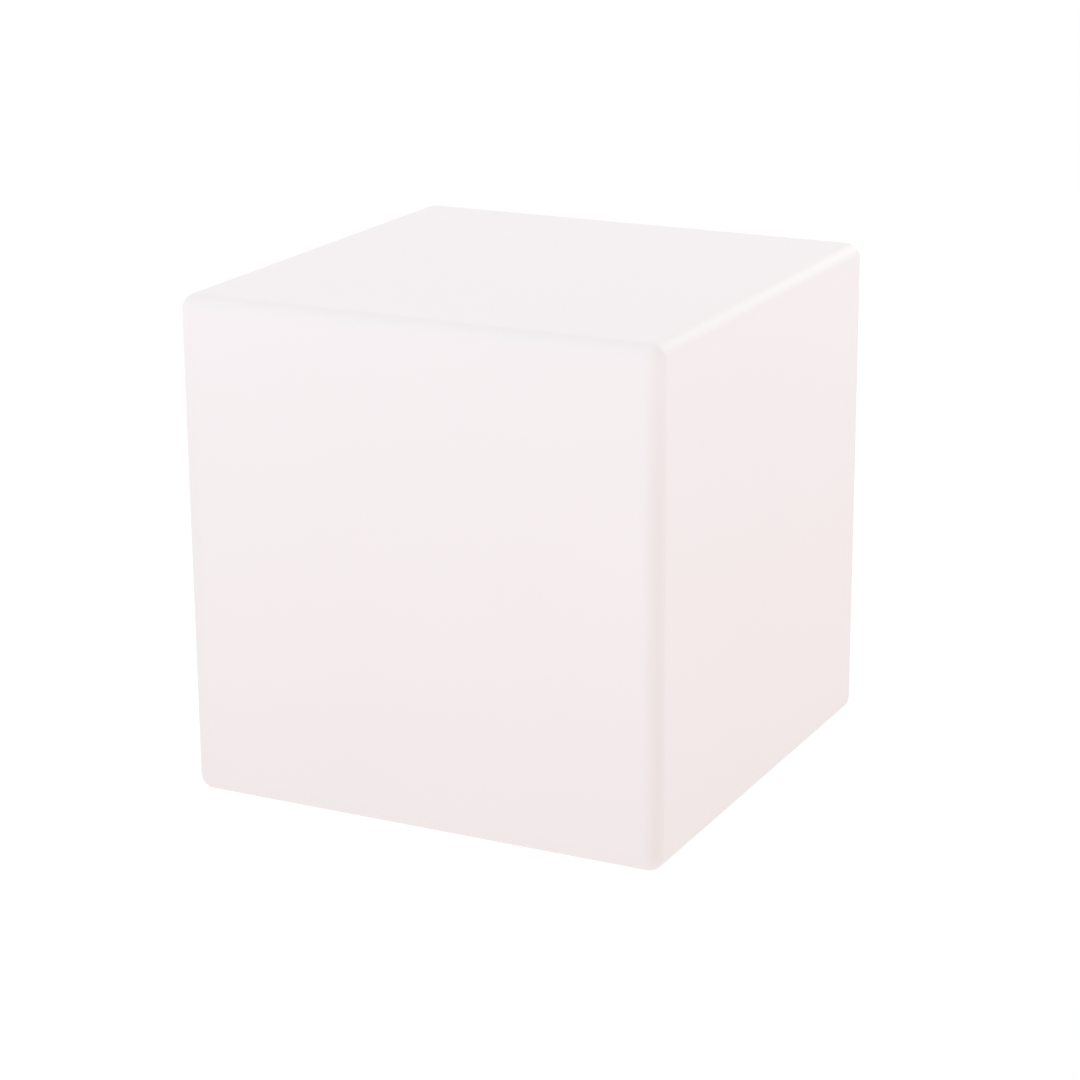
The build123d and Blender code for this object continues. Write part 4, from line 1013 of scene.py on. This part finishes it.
def make_screw(name, radius, length, head, height, pitch, flat):
    """A threaded screw with a cross recess, its head's face down at z = 0 and its shank up."""
    if flat:
        outline = [(0, 0), (head - 0.08 * MM, 0), (head - 0.04 * MM, 0.06 * MM), (radius, height)]
    else:
        crown = 0.6 * height
        outline = [(0, 0), *arc((head - crown, crown), crown, 270, 360, 6), (head, height), (radius, height)]
    tip = length if flat else length + height
    thread_low, thread_high = height + 0.3 * pitch, tip - 0.5 * radius
    outline += even_steps(radius, thread_low, thread_high, pitch / 6)
    outline += [(0.55 * radius, tip), (0, tip)]
    screw = turned(name, outline, 28)
    cut_thread(screw, radius, thread_low, thread_high, pitch, 0.5 * pitch)
    depth = (0.7 if flat else 0.5) * height
    for turn in (0, math.pi / 2):
        combine(screw, cross_cutter(head, 0.18 * head, depth, turn), "DIFFERENCE")
    return screw


def turn_over(piece):
    """Turns a piece head up, about the X axis."""
    edit(piece)
    bpy.ops.transform.rotate(value=math.pi, orient_axis="X", center_override=(0, 0, 0))
    done()


def make_screws(fixings, paint):
    """Every ring and set of screws, each in the middle of the plain screw that it stands for."""
    flange = make_screw(
        "flange_fixings", radius=2 * MM, length=16 * MM, head=4 * MM, height=2.2 * MM, pitch=0.7 * MM,
        flat=True,
    )
    copies(flange, on_circle(fixings.flange_circle, fixings.count, BASE_PLATE_FACE))
    cover = make_screw(
        "cover_fixings", radius=1.4 * MM, length=9 * MM, head=2.7 * MM, height=1.8 * MM, pitch=MM, flat=False
    )
    turn_over(cover)
    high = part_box("cover_screws")[1].z
    copies(cover, on_circle(fixings.cover_circle, fixings.count, high))
    placed = [(flange, "flange_screws"), (cover, "cover_screws")]
    radius, head, head_height = 1.25 * MM, 2.3 * MM, 1.6 * MM
    for node in ("led_board_screws", "control_board_screws", "battery_strap_screws"):
        low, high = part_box(node)
        length = high.z - low.z - head_height
        screw = make_screw(node + "_threaded", radius, length, head, head_height, pitch=0.8 * MM, flat=False)
        turn_over(screw)
        across = sorted({round(low.x + head, 6), round(high.x - head, 6)})
        along = sorted({round(low.y + head, 6), round(high.y - head, 6)})
        copies(screw, [(x, y, high.z) for x in across for y in along])
        placed.append((screw, node))
    for screws, node in placed:
        smooth(screws, 40)
        fit(screws, "housing", "screw_steel", paint, node)


def make_inserts(fixings, ceiling, paint):
    """Brass inserts with knurled bands, two locking grooves and a thread in the bore."""
    outer, length, bore = fixings.insert_radius, fixings.insert_length, 2.05 * MM
    groove, waist, slope = 1.6 * MM, outer - 0.4 * MM, 0.15 * MM
    entry, pitch, ridges, knurl = 0.3 * MM, 0.7 * MM, 48, 0.2 * MM
    outline = [(bore + entry, 0), (outer - slope, 0), (outer, slope)]
    for side in (-1, 1):
        low = length / 2 + side * groove - groove / 2
        high = low + groove
        outline += [(outer, low - slope), (waist, low), (waist, high), (outer, high + slope)]
    outline += [(outer, length - slope), (outer - slope, length), (bore + entry, length)]
    outline += reversed(even_steps(bore, entry, length - entry, pitch / 6))
    outline.append(outline[0])
    insert = turned("brass_inserts", outline, ridges)
    for point in insert.data.vertices:
        reach = math.hypot(point.co.x, point.co.y)
        step = round(math.atan2(point.co.y, point.co.x) / (2 * math.pi) * ridges)
        if abs(reach - outer) < 0.01 * MM and step % 2:
            point.co.x *= 1 - knurl / reach
            point.co.y *= 1 - knurl / reach
    cut_thread(insert, bore, entry, length - entry, pitch, -0.3 * MM)
    copies(insert, on_circle(fixings.flange_circle, fixings.count, ceiling))
    smooth(insert, 30)
    fit(insert, "housing", "brass", paint, "flange_inserts")


def make_spring(paint):
    """The button's spring: a wire wound in a helix, its end turns lying close together."""
    low, high = SPRING_LOW, SPRING_HIGH
    wire, turns = 0.35 * MM, 5.0
    middle = (low + high) / 2
    spring_radius = (high.x - low.x) / 2 - wire
    rise = high.z - low.z - 2 * wire
    coil = start(
        "circle", "return_spring", vertices=10, radius=wire, rotation=(math.pi / 2, 0, 0),
        location=(spring_radius, 0, 0),
    )
    steps = int(turns * 28)
    apply(
        coil, "SCREW", axis="Z", angle=2 * math.pi * turns, screw_offset=rise, steps=steps,
        render_steps=steps, use_normal_calculate=True, use_merge_vertices=False,
    )
    edit(coil)
    bpy.ops.mesh.select_mode(type="EDGE")
    bpy.ops.mesh.select_all(action="DESELECT")
    bpy.ops.mesh.select_non_manifold()
    bpy.ops.mesh.edge_face_add()
    done()
    tidy(coil)
    close = 2.05 * wire
    free = (rise - 2 * close) / (turns - 2)
    for point in coil.data.vertices:
        level = min(max(point.co.z / rise, 0.0), 1.0)
        turn = level * turns
        ends = min(turn, 1) + max(turn - turns + 1, 0)
        point.co.z += close * ends + free * min(max(turn - 1, 0), turns - 2) - level * rise
    shift(coil, (middle.x, middle.y, low.z + wire))
    smooth(coil, 60)
    fit(coil, "housing", "spring_steel", paint, "button_spring")
    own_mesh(coil)


def box_form(name, low, high):
    """A block between two corners."""
    low, high = Vector(low), Vector(high)
    block = start("cube", name, size=1)
    edit(block)
    bpy.ops.transform.resize(value=high - low, center_override=(0, 0, 0))
    bpy.ops.transform.translate(value=(low + high) / 2)
    done()
    return block


def mould_cap(sizes, paint):
    """The socket's dust cap, its finger tab, its strap and the strap's riveted end, in one rubber piece."""
    x, y = sizes.x, sizes.y
    lip, face = CAP_HIGH.z, CAP_LOW.z
    outer = (CAP_HIGH.x - CAP_LOW.x) / 2
    inner, ceiling, corner = outer - sizes.wall, face + 1.4 * MM, 0.84 * MM
    stem, stem_top = 2.5 * MM, face + 2.3 * MM
    disc, groove_floor, chamfer = face + 0.3 * MM, face + 0.5 * MM, 0.3 * MM
    outline = [(0, disc), (4.6 * MM, disc), (4.85 * MM, groove_floor), (5.35 * MM, groove_floor)]
    outline += [(5.7 * MM, face), *arc((outer - corner, face + corner), corner, 270, 360, 6)]
    outline += [(outer, lip - chamfer), (outer - chamfer, lip)]
    outline += [(inner + chamfer, lip), (inner, lip - chamfer)]
    outline += [(inner, ceiling), (stem, ceiling), (stem, stem_top - 0.25 * MM), (stem - 0.25 * MM, stem_top)]
    cup = turned("dust_cap", [*outline, (0, stem_top)], 96, x, y)
    tab_low, tab_end, tab_half = face + 0.3 * MM, CAP_HIGH.y, 3.5 * MM
    tab = box_form(
        "tab", (x - tab_half, y + outer - 0.8 * MM, tab_low), (x + tab_half, tab_end, tab_low + sizes.strap)
    )
    round_upright(tab, 0.6 * tab_half, lambda y: y > tab_end - MM)
    combine(cup, tab, "UNION")
    for i in range(3):
        ridge_y, half, thick = tab_end - (0.75 + 0.8 * i) * MM, (1.7 + 0.5 * i) * MM, 0.2 * MM
        ridge = box_form(
            "ridge", (x - half, ridge_y - thick, face), (x + half, ridge_y + thick, tab_low + 0.3 * MM)
        )
        combine(cup, ridge, "UNION")
    hinge_y = y - sizes.hinge
    end_y = hinge_y - sizes.anchor
    half = sizes.strap_width / 2
    strap = box_form("strap", (x - half, end_y, lip - sizes.strap), (x + half, y - 0.8 * inner, lip))
    round_upright(strap, 0.8 * half, lambda y: y < end_y + MM)
    combine(cup, strap, "UNION")
    over = lip + MM
    hollow = turned("hollow", [(0, ceiling), (inner, ceiling), (inner, over), (0, over)], 96, x, y)
    low, high = ceiling - MM, over + MM
    combine(hollow, turned("keep", [(0, low), (stem, low), (stem, high), (0, high)], 48, x, y), "DIFFERENCE")
    combine(cup, hollow, "DIFFERENCE")
    bend = start(
        "cylinder", "bend", vertices=40, radius=1.1 * MM, depth=12 * MM, rotation=(0, math.pi / 2, 0)
    )
    bend.location = (x, hinge_y, lip - sizes.strap - 0.55 * MM)
    combine(cup, bend, "DIFFERENCE")
    for side in (-1, 1):
        nick = start("cylinder", "nick", vertices=40, radius=2.2 * MM, depth=6 * MM)
        nick.location = (x + side * (half + 1.5 * MM), hinge_y, lip)
        combine(cup, nick, "DIFFERENCE")
    rivet_y = hinge_y - sizes.anchor / 2
    plate_face, plate_inner = BASE_PLATE_FACE, GASKET_LOW.z
    shank, head, head_top, head_round = sizes.rivet, sizes.rivet_head, plate_inner + 1.3 * MM, 0.5 * MM
    foot, foot_low = shank + 0.75 * MM, lip - 0.6 * MM
    outline = [(0, foot_low), (foot, foot_low), (foot, plate_face), (shank, plate_face), (shank, plate_inner)]
    outline += [(head, plate_inner), *arc((head - head_round, head_top - head_round), head_round, 0, 90, 4)]
    rivet = turned("rivet", [*outline, (0, head_top)], 48, x, rivet_y)
    combine(cup, rivet, "UNION")
    dimple = start("uv_sphere", "dimple", segments=32, ring_count=16, radius=2.4 * MM)
    dimple.location = (x, rivet_y, lip - sizes.strap - 2.05 * MM)
    combine(cup, dimple, "DIFFERENCE")
    apply(cup, "REMESH", mode="VOXEL", voxel_size=0.15 * MM, use_smooth_shade=True)
    apply(cup, "SMOOTH", factor=0.5, iterations=2)
    fit(cup, None, "cap_rubber", paint, "port_cap", "port_cap_anchor")
    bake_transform(cup)


# ------------------------------------------------------------------ floor, lamps and camera
def light_the_world(studio):
    """Soft light from all round, stronger from below and in front, bluer from the left, on white."""
    world = bpy.data.worlds.new("soft_studio")
    bpy.context.scene.world = world
    nodes = Nodes(world)
    nodes.tree.nodes.clear()
    x, y, z = nodes.axes("Generated")
    light = nodes.mix(0.5 + 0.5 * z, tuple(studio.lower_light), tuple(studio.upper_light))
    for share, more in ((0.5 - 0.5 * x, studio.left_light), (0.5 - 0.5 * y, studio.front_light)):
        light = nodes.mix(share, light, tuple(more), "ADD")
    kinds = ("Camera", "Glossy", "Transmission")
    rays = [nodes.node("ShaderNodeLightPath", out=f"Is {kind} Ray") for kind in kinds]
    seen = rays[0].most(rays[1]).most(rays[2])
    soft = nodes.node("ShaderNodeBackground", sockets={"Color": light})
    white = nodes.node("ShaderNodeBackground", sockets={"Color": (1.0, 1.0, 1.0)})
    both = nodes.node("ShaderNodeMixShader", sockets={0: seen, 1: soft, 2: white})
    nodes.node("ShaderNodeOutputWorld", sockets={"Surface": both})


def lay_floor():
    """A white floor that is seen from above only.  It keeps the cube's faint shadow."""
    floor = start("plane", "floor", size=30)
    edit(floor, "FACE")
    bpy.ops.mesh.subdivide(number_cuts=5)
    done()
    material = bpy.data.materials.new("white_floor")
    nodes = Nodes(material)
    nodes.tree.nodes.clear()
    shaded, always = (0.24, 0.235, 0.23), (0.825, 0.83, 0.845)
    matt = nodes.node("ShaderNodeBsdfDiffuse", sockets={"Color": shaded})
    white = nodes.node("ShaderNodeEmission", sockets={"Color": always})
    upper = nodes.node("ShaderNodeAddShader", sockets={0: matt, 1: white})
    under = nodes.node("ShaderNodeBsdfTransparent")
    side = nodes.node("ShaderNodeNewGeometry", out="Backfacing")
    both = nodes.node("ShaderNodeMixShader", sockets={0: side, 1: upper, 2: under})
    nodes.node("ShaderNodeOutputMaterial", sockets={"Surface": both})
    floor.data.materials.append(material)
    for ray in ("diffuse", "glossy", "transmission", "shadow"):
        setattr(floor, "visible_" + ray, False)


def set_camera(studio):
    """The camera stands where it sees the cube as it was photographed, with no shift of the lens."""
    turn, tilt = studio.azimuth, studio.elevation
    back = Vector((math.sin(turn) * math.cos(tilt), -math.cos(turn) * math.cos(tilt), math.sin(tilt)))
    right = Vector((math.cos(turn), math.sin(turn), 0))
    rows = Matrix.Rotation(-studio.roll, 3, "Z") @ Matrix((right, back.cross(right), back))
    pixel = SENSOR_WIDTH / studio.lens / PHOTO_SIZE * studio.distance
    across, down = (place - PHOTO_SIZE / 2 for place in CUBE_SEEN_AT)
    middle = Vector((across * pixel, -down * pixel, -studio.distance))
    camera = bpy.data.objects.new("camera", bpy.data.cameras.new("camera"))
    bpy.context.scene.collection.objects.link(camera)
    camera.data.lens = studio.lens
    camera.data.sensor_width = SENSOR_WIDTH
    camera.data.clip_end = 60
    place = CUBE_MIDDLE - rows.transposed() @ middle
    camera.matrix_world = Matrix.Translation(place) @ rows.transposed().to_4x4()
    bpy.context.scene.camera = camera


def hang_lamp(name, place, power, tint):
    """A square lamp, a metre wide, that looks at the cube a little over its middle."""
    lamp = bpy.data.lights.new(name, "AREA")
    lamp.energy = power
    lamp.shape = "SQUARE"
    lamp.size = 1.0
    lamp.color = tint
    holder = bpy.data.objects.new(name, lamp)
    bpy.context.scene.collection.objects.link(holder)
    holder.location = place
    aim = CUBE_MIDDLE + Vector((0, 0, 48 * MM)) - holder.location
    holder.rotation_euler = aim.to_track_quat("-Z", "Y").to_euler()


class CUBELIGHT_OT_stage(bpy.types.Operator):
    """Lays the white floor, sets the soft lamps and places the camera"""

    bl_idname = "cube_light.stage"
    bl_label = "Floor, lamps and camera"

    def execute(self, context):
        studio = context.scene.cube_light_studio
        light_the_world(studio)
        hang_lamp("front_lamp", (-1.1, -1.3, 1.6), 4.4, studio.front_lamp)
        hang_lamp("back_lamp", (0.66, 1.87, 1.15), 6.6, studio.back_lamp)
        lay_floor()
        set_camera(studio)
        context.scene.view_settings.view_transform = "Standard"
        return {"FINISHED"}


class CUBELIGHT_OT_shell(bpy.types.Operator):
    """Moulds the hollow cube with its recess, opening, bosses and foot pockets"""

    bl_idname = "cube_light.shell"
    bl_label = "Moulded shell"

    def execute(self, context):
        scene = context.scene
        paint = shell_finish(scene.cube_light_colours, scene.cube_light_shell)
        mould_shell(scene.cube_light_shell, scene.cube_light_fixings, paint)
        return {"FINISHED"}


class CUBELIGHT_OT_feet(bpy.types.Operator):
    """Moulds the four rubber feet"""

    bl_idname = "cube_light.feet"
    bl_label = "Rubber feet"

    def execute(self, context):
        scene = context.scene
        mould_feet(scene.cube_light_shell, rubber_finish("foot_rubber", tuple(scene.cube_light_colours.feet)))
        return {"FINISHED"}


class CUBELIGHT_OT_fixings(bpy.types.Operator):
    """Makes the threaded screws and the knurled brass inserts"""

    bl_idname = "cube_light.fixings"
    bl_label = "Screws and inserts"

    def execute(self, context):
        scene = context.scene
        make_screws(scene.cube_light_fixings, steel("screw_steel"))
        brass = metal_finish("insert_brass", (0.80, 0.58, 0.24), 0.28, stretch=(1, 1, 6))
        make_inserts(scene.cube_light_fixings, scene.cube_light_shell.recess_ceiling, brass)
        return {"FINISHED"}


class CUBELIGHT_OT_spring(bpy.types.Operator):
    """Winds the power button's return spring"""

    bl_idname = "cube_light.spring"
    bl_label = "Button spring"

    def execute(self, context):
        make_spring(steel("spring_steel", (4, 4, 1)))
        return {"FINISHED"}


class CUBELIGHT_OT_dust_cap(bpy.types.Operator):
    """Moulds the charging socket's dust cap with its strap and rivet"""

    bl_idname = "cube_light.dust_cap"
    bl_label = "Dust cap"

    def execute(self, context):
        scene = context.scene
        mould_cap(scene.cube_light_cap, rubber_finish("cap_rubber", tuple(scene.cube_light_colours.cap)))
        return {"FINISHED"}


class CUBELIGHT_OT_unit(bpy.types.Operator):
    """Finishes the light unit: its base, cover, boards, battery, leads, button and socket"""

    bl_idname = "cube_light.unit"
    bl_label = "Light unit's finishes"

    def execute(self, context):
        dress_nodes(context.scene.cube_light_colours)
        return {"FINISHED"}


GROUPS = {
    "cube_light_shell": CubeLightShellSizes,
    "cube_light_fixings": CubeLightFixingSizes,
    "cube_light_cap": CubeLightCapSizes,
    "cube_light_colours": CubeLightColours,
    "cube_light_studio": CubeLightStudio,
}
OPERATORS = (
    CUBELIGHT_OT_shell,
    CUBELIGHT_OT_feet,
    CUBELIGHT_OT_fixings,
    CUBELIGHT_OT_spring,
    CUBELIGHT_OT_dust_cap,
    CUBELIGHT_OT_unit,
    CUBELIGHT_OT_stage,
)


class CUBELIGHT_PT_panel(bpy.types.Panel):
    bl_label = "Cube Light"
    bl_idname = "CUBELIGHT_PT_panel"
    bl_space_type = "VIEW_3D"
    bl_region_type = "UI"
    bl_category = "Cube Light"

    def draw(self, context):
        for group, kind in GROUPS.items():
            box = self.layout.box()
            for name in kind.__annotations__:
                box.prop(getattr(context.scene, group), name)
        for operator in OPERATORS:
            self.layout.operator(operator.bl_idname)


def register():
    for kind in (*GROUPS.values(), *OPERATORS, CUBELIGHT_PT_panel):
        bpy.utils.register_class(kind)
    for name, kind in GROUPS.items():
        setattr(bpy.types.Scene, name, PointerProperty(type=kind))


def unregister():
    for name in GROUPS:
        delattr(bpy.types.Scene, name)
    for kind in (CUBELIGHT_PT_panel, *reversed(OPERATORS), *reversed(GROUPS.values())):
        bpy.utils.unregister_class(kind)


def main():
    register()
    bpy.ops.cube_light.shell()
    bpy.ops.cube_light.feet()
    bpy.ops.cube_light.fixings()
    bpy.ops.cube_light.spring()
    bpy.ops.cube_light.dust_cap()
    bpy.ops.cube_light.unit()
    bpy.ops.cube_light.stage()


if __name__ == "__main__":
    main()
